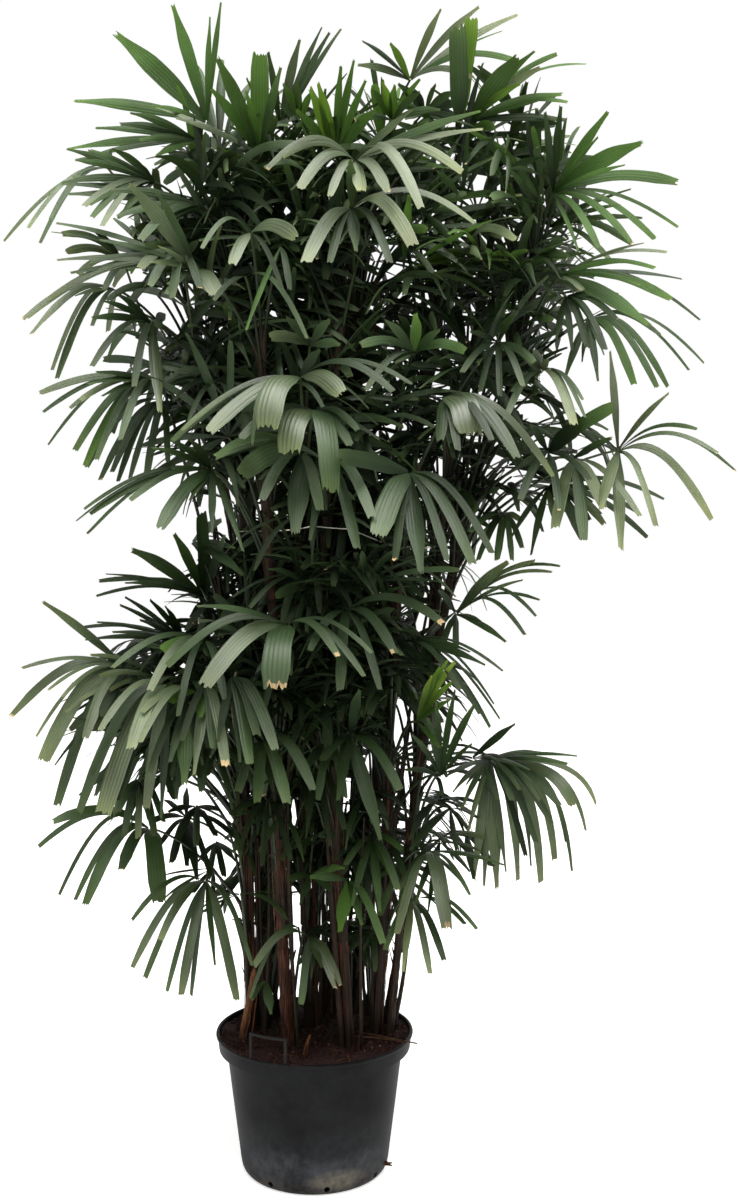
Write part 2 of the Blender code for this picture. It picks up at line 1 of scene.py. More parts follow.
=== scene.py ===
"""Looks of the potted lady palm.

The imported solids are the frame: the canes get their fibrous sheaths, the thin
fan solids and the foliage masses are replaced by fronds grown from the canes,
with ribbed leaflets, and the pot gets its wall, dust and drain holes.
"""
import bpy
import bmesh
import math
import numpy as np
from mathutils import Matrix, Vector


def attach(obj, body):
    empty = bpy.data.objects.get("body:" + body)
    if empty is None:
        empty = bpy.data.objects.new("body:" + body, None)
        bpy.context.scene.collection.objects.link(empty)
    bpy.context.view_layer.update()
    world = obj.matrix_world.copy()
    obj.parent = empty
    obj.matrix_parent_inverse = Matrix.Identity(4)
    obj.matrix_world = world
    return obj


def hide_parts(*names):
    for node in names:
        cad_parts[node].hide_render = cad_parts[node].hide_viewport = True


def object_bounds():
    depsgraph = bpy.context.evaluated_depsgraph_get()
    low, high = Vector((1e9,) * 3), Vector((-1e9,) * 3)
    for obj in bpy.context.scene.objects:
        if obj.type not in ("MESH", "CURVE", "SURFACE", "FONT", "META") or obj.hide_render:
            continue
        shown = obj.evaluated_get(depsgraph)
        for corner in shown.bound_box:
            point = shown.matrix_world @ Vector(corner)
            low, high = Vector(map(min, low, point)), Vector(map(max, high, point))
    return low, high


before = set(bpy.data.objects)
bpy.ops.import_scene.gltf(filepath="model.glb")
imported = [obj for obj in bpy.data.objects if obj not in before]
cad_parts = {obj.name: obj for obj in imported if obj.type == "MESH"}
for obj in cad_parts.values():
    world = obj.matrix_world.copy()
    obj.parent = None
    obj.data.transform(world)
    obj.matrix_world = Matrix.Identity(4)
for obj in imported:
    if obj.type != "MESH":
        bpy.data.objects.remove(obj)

CAD_BOX = [list(c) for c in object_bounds()]
LO = np.array(CAD_BOX[0])
HI = np.array(CAD_BOX[1])
COLL = bpy.data.collections.new("looks")
bpy.context.scene.collection.children.link(COLL)
UP = np.array((0.0, 0.0, 1.0))

# ------------------------------------------------------- the elevation drawing
EYE = np.array((0.127, -3.20, 1.48))
PITCH = math.radians(2.95)
STEPS = 1403.0
MID_U, MID_V = 369.5, 600.0


def spot(u, v, y):
    """Point at depth y that the elevation drawing shows at (u, v)."""
    run = y - EYE[1]
    drop = math.tan(math.atan((v - MID_V) / STEPS) + PITCH)
    along = run * (math.cos(PITCH) + drop * math.sin(PITCH))
    return np.array((EYE[0] + (u - MID_U) * along / STEPS, y, EYE[2] - run * drop))


def drawn(p):
    """(u, v) of points in the row frame on the elevation drawing."""
    d = np.asarray(p) - EYE
    run, rise = d[..., 1], d[..., 2]
    deep = run * math.cos(PITCH) - rise * math.sin(PITCH)
    down = -(rise * math.cos(PITCH) + run * math.sin(PITCH))
    return MID_U + STEPS * d[..., 0] / deep, MID_V + STEPS * down / deep


def unit(a):
    a = np.asarray(a, float)
    n = np.linalg.norm(a, axis=-1, keepdims=True)
    return a / np.maximum(n, 1e-9)


# ------------------------------------------------------------------ materials
def nodes_of(name):
    m = bpy.data.materials.new(name)
    m.use_nodes = True
    nt = m.node_tree
    nt.nodes.clear()
    return m, nt


def link(nt, a, b):
    nt.links.new(a, b)


def node(nt, kind, **kw):
    n = nt.nodes.new(kind)
    for k, v in kw.items():
        if k.startswith("in_"):
            n.inputs[k[3:].replace("_", " ")].default_value = v
        else:
            setattr(n, k, v)
    return n


def ramp(nt, stops):
    n = nt.nodes.new("ShaderNodeValToRGB")
    cr = n.color_ramp
    while len(cr.elements) < len(stops):
        cr.elements.new(0.5)
    for e, (p, c) in zip(cr.elements, stops):
        e.position = p
        e.color = (*c, 1.0) if len(c) == 3 else (c[0], c[0], c[0], 1.0)
    return n


def leaf_material(name, colour, rough=0.42, glow=0.22, spec=0.4, glow_colour=None, vary=0.22):
    """Leathery leaf: mottled green, fine lengthwise veins, some light through it, painted shade towards the base and a
    painted sheen further out.
    """
    m, nt = nodes_of(name)
    out = node(nt, "ShaderNodeOutputMaterial")
    b = node(nt, "ShaderNodeBsdfPrincipled")
    b.inputs["Specular IOR Level"].default_value = spec
    tc = node(nt, "ShaderNodeTexCoord")
    big = node(nt, "ShaderNodeTexNoise", in_Scale=9.0, in_Detail=3.0, in_Roughness=0.55)
    link(nt, tc.outputs["Object"], big.inputs["Vector"])
    c = np.array(colour)
    r = ramp(nt, [(0.28, tuple(c * (1 - vary))), (0.52, tuple(c)), (0.76, tuple(np.minimum(c * (1 + vary) + 0.004, 1)))])
    link(nt, big.outputs["Fac"], r.inputs["Fac"])
    fine = node(nt, "ShaderNodeTexNoise", in_Scale=160.0, in_Detail=2.0)
    link(nt, tc.outputs["Object"], fine.inputs["Vector"])
    mix = node(nt, "ShaderNodeMix", data_type="RGBA", blend_type="MULTIPLY")
    mix.inputs[0].default_value = 0.22
    link(nt, r.outputs["Color"], mix.inputs[6])
    link(nt, fine.outputs["Fac"], mix.inputs[7])
    uv = node(nt, "ShaderNodeUVMap", uv_map="along")
    sep = node(nt, "ShaderNodeSeparateXYZ")
    link(nt, uv.outputs["UV"], sep.inputs["Vector"])
    # painted shade and sheen along each leaflet: darker towards the base near the hub, lighter outwards where the arch
    # catches the light; the yellowish pale end is the leaflet's own drying
    run = ramp(nt, [(0.0, (0.42, 0.46, 0.44)), (0.28, (0.74, 0.78, 0.74)), (0.60, (1.08, 1.08, 1.05)), (0.88, (1.42, 1.36, 1.25)), (1.0, (2.1, 1.8, 1.4))])
    link(nt, sep.outputs["Y"], run.inputs["Fac"])
    mixa = node(nt, "ShaderNodeMix", data_type="RGBA", blend_type="MULTIPLY")
    mixa.inputs[0].default_value = 1.0
    link(nt, mix.outputs[2], mixa.inputs[6])
    link(nt, run.outputs["Color"], mixa.inputs[7])
    wide_n = node(nt, "ShaderNodeTexNoise", in_Scale=4.5, in_Detail=2.0)
    link(nt, tc.outputs["Object"], wide_n.inputs["Vector"])
    wr = ramp(nt, [(0.35, (0.68, 0.66, 0.66)), (0.5, (1.0, 1.0, 1.0)), (0.65, (1.30, 1.26, 1.34))])
    link(nt, wide_n.outputs["Fac"], wr.inputs["Fac"])
    mixb = node(nt, "ShaderNodeMix", data_type="RGBA", blend_type="MULTIPLY")
    mixb.inputs[0].default_value = 1.0
    link(nt, mixa.outputs[2], mixb.inputs[6])
    link(nt, wr.outputs["Color"], mixb.inputs[7])
    veins = node(nt, "ShaderNodeMath", operation="MULTIPLY")
    veins.inputs[1].default_value = 2 * math.pi * 6
    link(nt, sep.outputs["X"], veins.inputs[0])
    vs = node(nt, "ShaderNodeMath", operation="SINE")
    link(nt, veins.outputs[0], vs.inputs[0])
    vm = node(nt, "ShaderNodeMapRange")
    vm.inputs["From Min"].default_value = -1.0
    vm.inputs["To Min"].default_value = 0.80
    vm.inputs["To Max"].default_value = 1.20
    link(nt, vs.outputs[0], vm.inputs["Value"])
    mixc = node(nt, "ShaderNodeMix", data_type="RGBA", blend_type="MULTIPLY")
    mixc.inputs[0].default_value = 1.0
    link(nt, mixb.outputs[2], mixc.inputs[6])
    link(nt, vm.outputs["Result"], mixc.inputs[7])
    link(nt, mixc.outputs[2], b.inputs["Base Color"])
    rr = node(nt, "ShaderNodeMapRange")
    rr.inputs["To Min"].default_value = rough - 0.07
    rr.inputs["To Max"].default_value = rough + 0.09
    link(nt, big.outputs["Fac"], rr.inputs["Value"])
    link(nt, rr.outputs["Result"], b.inputs["Roughness"])
    mul = node(nt, "ShaderNodeMath", operation="MULTIPLY")
    mul.inputs[1].default_value = 2 * math.pi * 15
    link(nt, sep.outputs["X"], mul.inputs[0])
    sin = node(nt, "ShaderNodeMath", operation="SINE")
    link(nt, mul.outputs[0], sin.inputs[0])
    add = node(nt, "ShaderNodeMath", operation="MULTIPLY_ADD")
    add.inputs[1].default_value = 0.35
    link(nt, sin.outputs[0], add.inputs[0])
    link(nt, fine.outputs["Fac"], add.inputs[2])
    bump = node(nt, "ShaderNodeBump", in_Strength=0.35, in_Distance=0.0006)
    link(nt, add.outputs[0], bump.inputs["Height"])
    link(nt, bump.outputs["Normal"], b.inputs["Normal"])
    if glow:
        t = node(nt, "ShaderNodeBsdfTranslucent")
        g = glow_colour or (min(c[0] * 2.1, 1), min(c[1] * 2.0, 1), min(c[2] * 1.2, 1))
        t.inputs["Color"].default_value = (*g, 1.0)
        ms = node(nt, "ShaderNodeMixShader")
        ms.inputs[0].default_value = glow
        link(nt, b.outputs[0], ms.inputs[1])
        link(nt, t.outputs[0], ms.inputs[2])
        link(nt, ms.outputs[0], out.inputs["Surface"])
    else:
        link(nt, b.outputs[0], out.inputs["Surface"])
    return m


# k and d are darkened copies of the leaf green that paint the shade deep in the crown, g and b brightened copies that
# paint sunlight on the top leaves, p and q paler copies that paint the sky's sheen on the arching leaves; m and e are
# the plain greens, y young leaves, u undersides, t dry ends, s stalks
TINTS = {                      # name, colour, roughness, light let through, gloss
    "k": ("leaf_painted_deep_shade", (0.0112, 0.0198, 0.0084), 0.50, 0.08, 0.12),
    "d": ("leaf_painted_shade", (0.0142, 0.0285, 0.0096), 0.44, 0.12, 0.28),
    "m": ("leaf_mid", (0.0238, 0.0448, 0.0158), 0.42, 0.14, 0.36),
    "e": ("leaf_even", (0.0255, 0.0515, 0.0152), 0.46, 0.18, 0.26),
    "g": ("leaf_painted_sunlit", (0.0340, 0.0740, 0.0160), 0.50, 0.24, 0.20),
    "b": ("leaf_painted_bright_sun", (0.0560, 0.1120, 0.0170), 0.50, 0.28, 0.20),
    "y": ("leaf_young", (0.0900, 0.1450, 0.0240), 0.50, 0.26, 0.20),
    "p": ("leaf_painted_sheen", (0.0455, 0.0670, 0.0290), 0.40, 0.10, 0.50),
    "q": ("leaf_painted_silver_sheen", (0.0600, 0.0860, 0.0400), 0.41, 0.10, 0.50),
    "u": ("leaf_under", (0.0820, 0.1080, 0.0540), 0.46, 0.12, 0.45),
    "t": ("leaf_tan", (0.2150, 0.1750, 0.1150), 0.60, 0.12, 0.20),
    "s": ("stalk_green", (0.0140, 0.0230, 0.0065), 0.45, 0.0, 0.25),
}
LEAF_MATS = [leaf_material(*row) for row in TINTS.values()]
TINT_AT = {k: i for i, k in enumerate(TINTS)}


def bark_material(name, dark, mid, light):
    """Fibrous sheaths: lengthwise fibres, with darker and slightly redder blotches."""
    m, nt = nodes_of(name)
    out = node(nt, "ShaderNodeOutputMaterial")
    b = node(nt, "ShaderNodeBsdfPrincipled")
    b.inputs["Specular IOR Level"].default_value = 0.12
    uv = node(nt, "ShaderNodeUVMap", uv_map="along")
    mp = node(nt, "ShaderNodeMapping")
    mp.inputs["Scale"].default_value = (11.0, 0.75, 1.0)
    link(nt, uv.outputs["UV"], mp.inputs["Vector"])
    fib = node(nt, "ShaderNodeTexNoise", in_Scale=4.0, in_Detail=6.0, in_Roughness=0.65)
    link(nt, mp.outputs["Vector"], fib.inputs["Vector"])
    tc = node(nt, "ShaderNodeTexCoord")
    blot = node(nt, "ShaderNodeTexNoise", in_Scale=14.0, in_Detail=4.0)
    link(nt, tc.outputs["Object"], blot.inputs["Vector"])
    r = ramp(nt, [(0.36, dark), (0.50, mid), (0.66, light)])
    link(nt, fib.outputs["Fac"], r.inputs["Fac"])
    r2 = ramp(nt, [(0.35, (0.35, 0.35, 0.35)), (0.65, (1.15, 1.0, 0.95))])
    link(nt, blot.outputs["Fac"], r2.inputs["Fac"])
    mix = node(nt, "ShaderNodeMix", data_type="RGBA", blend_type="MULTIPLY")
    mix.inputs[0].default_value = 0.8
    link(nt, r.outputs["Color"], mix.inputs[6])
    link(nt, r2.outputs["Color"], mix.inputs[7])
    link(nt, mix.outputs[2], b.inputs["Base Color"])
    rr = node(nt, "ShaderNodeMapRange")
    rr.inputs["To Min"].default_value = 0.55
    rr.inputs["To Max"].default_value = 0.9
    link(nt, fib.outputs["Fac"], rr.inputs["Value"])
    link(nt, rr.outputs["Result"], b.inputs["Roughness"])
    bump = node(nt, "ShaderNodeBump", in_Strength=0.8, in_Distance=0.0015)
    link(nt, fib.outputs["Fac"], bump.inputs["Height"])
    link(nt, bump.outputs["Normal"], b.inputs["Normal"])
    link(nt, b.outputs[0], out.inputs["Surface"])
    return m


BARK = bark_material("bark_red", (0.0040, 0.0022, 0.0016), (0.027, 0.0108, 0.0062), (0.135, 0.052, 0.028))
BARK_DARK = bark_material("bark_dark", (0.003, 0.0022, 0.0017), (0.013, 0.0088, 0.0064), (0.075, 0.048, 0.030))
SHEATH = bark_material("sheath_fibre", (0.003, 0.0025, 0.0018), (0.015, 0.0120, 0.0072), (0.070, 0.052, 0.032))
SHOOT = bark_material("shoot_skin", (0.030, 0.010, 0.005), (0.090, 0.034, 0.014), (0.230, 0.130, 0.055))


def pot_material():
    m, nt = nodes_of("pot_plastic")
    out = node(nt, "ShaderNodeOutputMaterial")
    b = node(nt, "ShaderNodeBsdfPrincipled")
    b.inputs["Specular IOR Level"].default_value = 0.05
    tc = node(nt, "ShaderNodeTexCoord")
    sep = node(nt, "ShaderNodeSeparateXYZ")
    link(nt, tc.outputs["Object"], sep.inputs["Vector"])
    # height of the dust, uneven and streaked
    mp = node(nt, "ShaderNodeMapping")
    mp.inputs["Scale"].default_value = (14.0, 14.0, 5.0)
    link(nt, tc.outputs["Object"], mp.inputs["Vector"])
    streak = node(nt, "ShaderNodeTexNoise", in_Scale=1.0, in_Detail=5.0, in_Roughness=0.6)
    link(nt, mp.outputs["Vector"], streak.inputs["Vector"])
    wob = node(nt, "ShaderNodeMath", operation="MULTIPLY_ADD")
    wob.inputs[1].default_value = 0.07
    link(nt, streak.outputs["Fac"], wob.inputs[0])
    link(nt, sep.outputs["Z"], wob.inputs[2])
    band = ramp(nt, [(0.040, (0.16,)), (0.062, (0.62,)), (0.100, (0.56,)), (0.138, (0.17,)), (0.21, (0.07,)), (0.33, (0.05,))])
    link(nt, wob.outputs[0], band.inputs["Fac"])
    fine = node(nt, "ShaderNodeTexNoise", in_Scale=55.0, in_Detail=6.0, in_Roughness=0.7)
    link(nt, tc.outputs["Object"], fine.inputs["Vector"])
    amt = node(nt, "ShaderNodeMath", operation="MULTIPLY")
    link(nt, band.outputs["Color"], amt.inputs[0])
    fr = ramp(nt, [(0.30, (0.35,)), (0.70, (1.0,))])
    link(nt, fine.outputs["Fac"], fr.inputs["Fac"])
    link(nt, fr.outputs["Color"], amt.inputs[1])
    mix = node(nt, "ShaderNodeMix", data_type="RGBA")
    mix.inputs[6].default_value = (0.0040, 0.0041, 0.0042, 1)
    mix.inputs[7].default_value = (0.060, 0.066, 0.074, 1)
    link(nt, amt.outputs[0], mix.inputs[0])
    # brown soil splashed up from the base
    soil = ramp(nt, [(0.030, (0.9,)), (0.062, (0.45,)), (0.095, (0.0,))])
    link(nt, wob.outputs[0], soil.inputs["Fac"])
    sn = ramp(nt, [(0.42, (0.0,)), (0.60, (1.0,))])
    link(nt, fine.outputs["Fac"], sn.inputs["Fac"])
    samt = node(nt, "ShaderNodeMath", operation="MULTIPLY")
    link(nt, soil.outputs["Color"], samt.inputs[0])
    link(nt, sn.outputs["Color"], samt.inputs[1])
    mix2 = node(nt, "ShaderNodeMix", data_type="RGBA")
    mix2.inputs[7].default_value = (0.042, 0.031, 0.024, 1)
    link(nt, mix.outputs[2], mix2.inputs[6])
    link(nt, samt.outputs[0], mix2.inputs[0])
    # a dried tidemark low on the front right, and darker rubbed places
    tide = node(nt, "ShaderNodeVectorMath", operation="DISTANCE")
    tide.inputs[1].default_value = (0.062, -0.168, 0.034)
    squash = node(nt, "ShaderNodeMapping")
    squash.inputs["Scale"].default_value = (1.0, 1.0, 2.6)
    squash.inputs["Location"].default_value = (0.0, 0.0, -0.055)
    link(nt, tc.outputs["Object"], squash.inputs["Vector"])
    link(nt, squash.outputs["Vector"], tide.inputs[0])
    near = ramp(nt, [(0.030, (0.85,)), (0.075, (0.0,))])
    link(nt, tide.outputs["Value"], near.inputs["Fac"])
    tamt = node(nt, "ShaderNodeMath", operation="MULTIPLY")
    link(nt, near.outputs["Color"], tamt.inputs[0])
    link(nt, fr.outputs["Color"], tamt.inputs[1])
    mix3 = node(nt, "ShaderNodeMix", data_type="RGBA")
    mix3.inputs[7].default_value = (0.110, 0.098, 0.074, 1)
    link(nt, mix2.outputs[2], mix3.inputs[6])
    link(nt, tamt.outputs[0], mix3.inputs[0])
    rub = node(nt, "ShaderNodeTexNoise", in_Scale=7.0, in_Detail=4.0, in_Roughness=0.6)
    link(nt, tc.outputs["Object"], rub.inputs["Vector"])
    rubr = ramp(nt, [(0.38, (0.60, 0.60, 0.62)), (0.50, (1.0, 1.0, 1.0)), (0.64, (1.25, 1.25, 1.25))])
    link(nt, rub.outputs["Fac"], rubr.inputs["Fac"])
    mix4 = node(nt, "ShaderNodeMix", data_type="RGBA", blend_type="MULTIPLY")
    mix4.inputs[0].default_value = 1.0
    link(nt, mix3.outputs[2], mix4.inputs[6])
    link(nt, rubr.outputs["Color"], mix4.inputs[7])
    link(nt, mix4.outputs[2], b.inputs["Base Color"])
    rr = node(nt, "ShaderNodeMapRange")
    rr.inputs["To Min"].default_value = 0.45
    rr.inputs["To Max"].default_value = 0.90
    link(nt, amt.outputs[0], rr.inputs["Value"])
    link(nt, rr.outputs["Result"], b.inputs["Roughness"])
    bump = node(nt, "ShaderNodeBump", in_Strength=0.25, in_Distance=0.0008)
    link(nt, fine.outputs["Fac"], bump.inputs["Height"])
    link(nt, bump.outputs["Normal"], b.inputs["Normal"])
    link(nt, b.outputs[0], out.inputs["Surface"])
    return m


def soil_material(name, a, c, d):
    m, nt = nodes_of(name)
    out = node(nt, "ShaderNodeOutputMaterial")
    b = node(nt, "ShaderNodeBsdfPrincipled")
    b.inputs["Specular IOR Level"].default_value = 0.25
    tc = node(nt, "ShaderNodeTexCoord")
    n1 = node(nt, "ShaderNodeTexNoise", in_Scale=70.0, in_Detail=8.0, in_Roughness=0.75)
    link(nt, tc.outputs["Object"], n1.inputs["Vector"])
    r = ramp(nt, [(0.35, a), (0.52, c), (0.70, d)])
    link(nt, n1.outputs["Fac"], r.inputs["Fac"])
    link(nt, r.outputs["Color"], b.inputs["Base Color"])
    rr = node(nt, "ShaderNodeMapRange")
    rr.inputs["To Min"].default_value = 0.75
    rr.inputs["To Max"].default_value = 0.98
    link(nt, n1.outputs["Fac"], rr.inputs["Value"])
    link(nt, rr.outputs["Result"], b.inputs["Roughness"])
    bump = node(nt, "ShaderNodeBump", in_Strength=0.9, in_Distance=0.004)
    link(nt, n1.outputs["Fac"], bump.inputs["Height"])
    link(nt, bump.outputs["Normal"], b.inputs["Normal"])
    link(nt, b.outputs[0], out.inputs["Surface"])
    return m


POT_MAT = pot_material()
SOIL_MAT = soil_material("potting_soil", (0.007, 0.0024, 0.0022), (0.021, 0.0066, 0.0056), (0.052, 0.0170, 0.0130))
CRUMB_MAT = soil_material("soil_crumbs", (0.009, 0.0032, 0.0026), (0.032, 0.0098, 0.0078), (0.092, 0.0300, 0.0210))
CHIP_MAT = soil_material("dry_chips", (0.030, 0.015, 0.008), (0.080, 0.040, 0.020), (0.180, 0.100, 0.052))


# --------------------------------------------------------------- mesh bunches
class Bunch:
    """Quads gathered from many small pieces, made into one mesh at the end."""

    def __init__(self, name, mats, slot, cap=190000):
        self.name, self.mats, self.slot, self.cap = name, mats, slot, cap
        self.made = []
        self.reset()

    def reset(self):
        self.v, self.q, self.uv, self.m, self.n, self.tris = [], [], [], [], 0, 0

    def add(self, verts, quads, uv, mat):
        if self.tris + 2 * len(quads) > self.cap:
            self.make()
        self.v.append(verts)
        self.q.append(quads + self.n)
        self.uv.append(uv)
        self.m.append(np.full(len(quads), mat, np.int32) if np.isscalar(mat) else mat)
        self.n += len(verts)
        self.tris += 2 * len(quads)

    def make(self, smooth=True):
        if not self.v:
            return
        v = np.concatenate(self.v).astype(np.float32)
        q = np.concatenate(self.q).astype(np.int32)
        uv = np.concatenate(self.uv).astype(np.float32)
        mi = np.concatenate(self.m)
        name = "%s_%d" % (self.name, len(self.made) + 1)
        me = bpy.data.meshes.new(name)
        me.vertices.add(len(v))
        me.vertices.foreach_set("co", v.ravel())
        me.loops.add(len(q) * 4)
        me.loops.foreach_set("vertex_index", q.ravel())
        me.polygons.add(len(q))
        me.polygons.foreach_set("loop_start", np.arange(0, len(q) * 4, 4, dtype=np.int32))
        me.polygons.foreach_set("material_index", mi)
        me.polygons.foreach_set("use_smooth", np.full(len(q), smooth))
        layer = me.uv_layers.new(name="along")
        layer.data.foreach_set("uv", uv.reshape(-1))
        for mt in self.mats:
            me.materials.append(mt)
        me.update(calc_edges=True)
        ob = bpy.data.objects.new(name, me)
        COLL.objects.link(ob)
        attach(ob, "root")
        self.made.append(ob)
        self.reset()


GRIDS = {}


def strip_quads(rows, cols):
    """Grid whose columns don't share points, so that each pleat keeps its own light."""
    key = (rows, cols, "strips")
    if key not in GRIDS:
        n = 2 * cols
        i = (np.arange(rows)[:, None] * n + 2 * np.arange(cols)[None, :]).ravel()
        q = np.stack((i, i + 1, i + n + 1, i + n), 1)
        at = np.repeat(np.arange(cols + 1), 2)[1:-1]
        uu, ss = np.meshgrid(at / cols, np.linspace(0, 1, rows + 1))
        pts = np.stack((uu.ravel(), ss.ravel()), 1)
        GRIDS[key] = (q, pts[q], at)
    return GRIDS[key]


def grid_quads(rows, cols):
    key = (rows, cols)
    if key not in GRIDS:
        i = np.arange(rows)[:, None] * (cols + 1) + np.arange(cols)[None, :]
        i = i.ravel()
        q = np.stack((i, i + 1, i + cols + 2, i + cols + 1), 1)
        u = np.linspace(0, 1, cols + 1)
        s = np.linspace(0, 1, rows + 1)
        uu, ss = np.meshgrid(u, s)
        pts = np.stack((uu.ravel(), ss.ravel()), 1)
        GRIDS[key] = (q, pts[q])
    return GRIDS[key]


def smooth01(x):
    x = np.clip(x, 0, 1)
    return x * x * (3 - 2 * x)


def leaf_curve(base, ctrl, tip, rows, knee=0.72):
    """Points and directions along a cubic from base to tip that bends round ctrl."""
    s = np.linspace(0, 1, rows + 1)[:, None]
    a, b = base + (ctrl - base) * knee, tip + (ctrl - tip) * knee
    p = (1 - s) ** 3 * base + 3 * s * (1 - s) ** 2 * a + 3 * s * s * (1 - s) * b + s ** 3 * tip
    t = unit((1 - s) ** 2 * (a - base) + 2 * s * (1 - s) * (b - a) + s * s * (tip - b))
    return s, p, t


DRY = np.random.default_rng(5)


def leaflet(bunch, base, ctrl, tip, wide, side, tint, rng, rows=10, cols=6, blunt=0.6, tan=0.0, twist=0.0, cleft=False, fold=0.10, stem=0.20, belly=0.42, pleat=0.060, knee=0.72):
    """One ribbed segment of a frond along the curve base, ctrl, tip.

    side is the direction across it, wide its greatest width; belly is where it
    reaches that width, blunt how wide it stays at its toothed end, and tan the
    share of it at the end that is dry.
    """
    s, p, t = leaf_curve(base, ctrl, tip, rows, knee)
    if tan > 0:                       # a row of its own for the dry edge
        s[-2] = 1 - tan
        x = s[-2]
        a, b = base + (ctrl - base) * knee, tip + (ctrl - tip) * knee
        p[-2] = (1 - x) ** 3 * base + 3 * x * (1 - x) ** 2 * a + 3 * x * x * (1 - x) * b + x ** 3 * tip
    w = unit(side - t * (t @ side)[:, None])
    n = np.cross(t, w)
    if n[rows // 2, 2] < 0:
        n = -n
    if twist:
        a = twist * s
        w = w * np.cos(a) + n * np.sin(a)
        n = np.cross(t, w)
        if n[rows // 2, 2] < 0:
            n = -n
    sv = s[:, 0]
    end = 0.84 if blunt > 0.45 else 0.60
    f = (stem + (1 - stem) * smooth01(sv / belly) ** 0.85) * (1 - (1 - blunt) * smooth01((sv - end) / (1 - end)) ** (1.5 if blunt > 0.45 else 1.1))
    f = f * (1 + 0.03 * np.sin(sv * 9 + rng.uniform(0, 6)))
    c = np.linspace(-1, 1, cols + 1)
    half = f * wide / 2
    ribs = np.where(np.arange(cols + 1) % 2 == 0, -1.0, 1.0) * rng.uniform(0.7, 1.2, cols + 1)
    fade = np.sin(np.pi * np.clip(sv * 0.86 + 0.10, 0, 1)) ** 0.5
    h = (ribs[None, :] * pleat / cols * 2.2 - fold * np.abs(c)[None, :] ** 1.4 * 2) * half[:, None] * fade[:, None]
    q = p[:, None, :] + w[:, None, :] * (c[None, :] * half[:, None])[..., None] + n[:, None, :] * h[..., None]
    # toothed end
    tooth = rng.uniform(-0.5, 0.5, cols + 1) * wide * 0.30
    if cleft:
        tooth[cols // 2] -= wide * 0.9
    q[-1] += t[-1] * tooth[:, None]
    q[-2] += t[-2] * (tooth * (0.7 if tan > 0 else 0.25))[:, None]
    quads, uv, at = strip_quads(rows, cols)
    mat = TINT_AT[tint]
    if tan > 0:
        mat = np.full(len(quads), mat, np.int32)
        dried = max(2, int(round(cols * DRY.uniform(0.35, 0.9))))
        first = int(DRY.integers(0, cols - dried + 1))
        mat[len(mat) - cols + first:len(mat) - cols + first + dried] = TINT_AT["t"]
    bunch.add(q[:, at].reshape(-1, 3), quads, uv, mat)
    return q


def stalk(bunch, pts, r0, r1, mat, sides=6, rows=10):
    """A thin round stalk along a quadratic curve through three points."""
    a, b, c = pts
    s, p, t = leaf_curve(a, b, c, rows)
    ref = np.array((0.31, -0.93, 0.18))
    e1 = unit(ref - t * (t @ ref)[:, None])
    e2 = np.cross(t, e1)
    ang = np.linspace(0, 2 * math.pi, sides + 1)
    r = (r0 + (r1 - r0) * s[:, 0])
    ring = e1[:, None, :] * np.cos(ang)[None, :, None] + e2[:, None, :] * np.sin(ang)[None, :, None]
    q = p[:, None, :] + ring * r[:, None, None]
    quads, uv = grid_quads(rows, sides)
    bunch.add(q.reshape(-1, 3), quads, uv, mat)


# ---------------------------------------------------------------------- canes
SOIL_TOP = 0.2960
GAP = 0.0003
# name, foot (u, y), stations (u, v, y), foot radius, top radius: as the solids
CANES = [
    ("cane_left_outer", (252, 0.030), [(247, 860, 0.030), (240, 720, 0.000), (222, 600, 0.020)], 0.0125, 0.0078),
    ("cane_left_front", (288, -0.040), [(279, 860, -0.060), (276, 680, -0.110), (266, 480, -0.130), (262, 330, -0.120)], 0.0160, 0.0085),
    ("cane_left_rear", (266, 0.105), [(262, 860, 0.110), (252, 660, 0.120), (240, 420, 0.090), (238, 215, 0.050)], 0.0140, 0.0080),
    ("cane_mid_left", (309, 0.060), [(304, 850, 0.050), (296, 650, 0.010), (304, 500, -0.060), (306, 400, -0.130)], 0.0115, 0.0078),
    ("cane_mid_front", (350, -0.060), [(339, 880, -0.080), (334, 740, -0.090), (322, 600, -0.100), (330, 470, -0.090), (340, 330, -0.060)], 0.0140, 0.0080),
    ("cane_mid_rear", (332, 0.135), [(338, 820, 0.150), (352, 600, 0.150), (356, 400, 0.110), (352, 240, 0.030)], 0.0120, 0.0078),
    ("cane_right_front", (378, 0.030), [(388, 850, 0.000), (392, 680, -0.040), (404, 540, -0.100), (409, 485, -0.170)], 0.0110, 0.0075),
    ("cane_right_rear", (372, 0.120), [(372, 850, 0.150), (392, 640, 0.180), (420, 420, 0.160), (452, 210, 0.100)], 0.0120, 0.0078),
    ("cane_right_lean", (385, 0.072), [(409, 880, 0.085), (418, 760, 0.080), (434, 620, 0.060), (444, 500, 0.010), (448, 420, -0.100)], 0.0105, 0.0075),
    ("cane_far_right", (389, 0.000), [(407, 860, 0.010), (428, 720, 0.010), (446, 600, 0.030), (473, 480, 0.080), (508, 390, 0.100), (536, 270, 0.060)], 0.0105, 0.0075),
    ("cane_rear_left", (286, 0.165), [(276, 800, 0.210), (236, 560, 0.260), (196, 330, 0.260)], 0.0115, 0.0075),
    ("cane_rear_mid", (312, 0.160), [(322, 760, 0.250), (340, 480, 0.300), (372, 200, 0.280)], 0.0115, 0.0075),
    ("cane_rear_right", (350, 0.152), [(378, 760, 0.240), (440, 520, 0.290), (488, 260, 0.270)], 0.0115, 0.0075),
    ("young_shoot", (241, -0.020), [(248, 1005, -0.030), (254, 972, -0.050)], 0.0085, 0.0060),
]


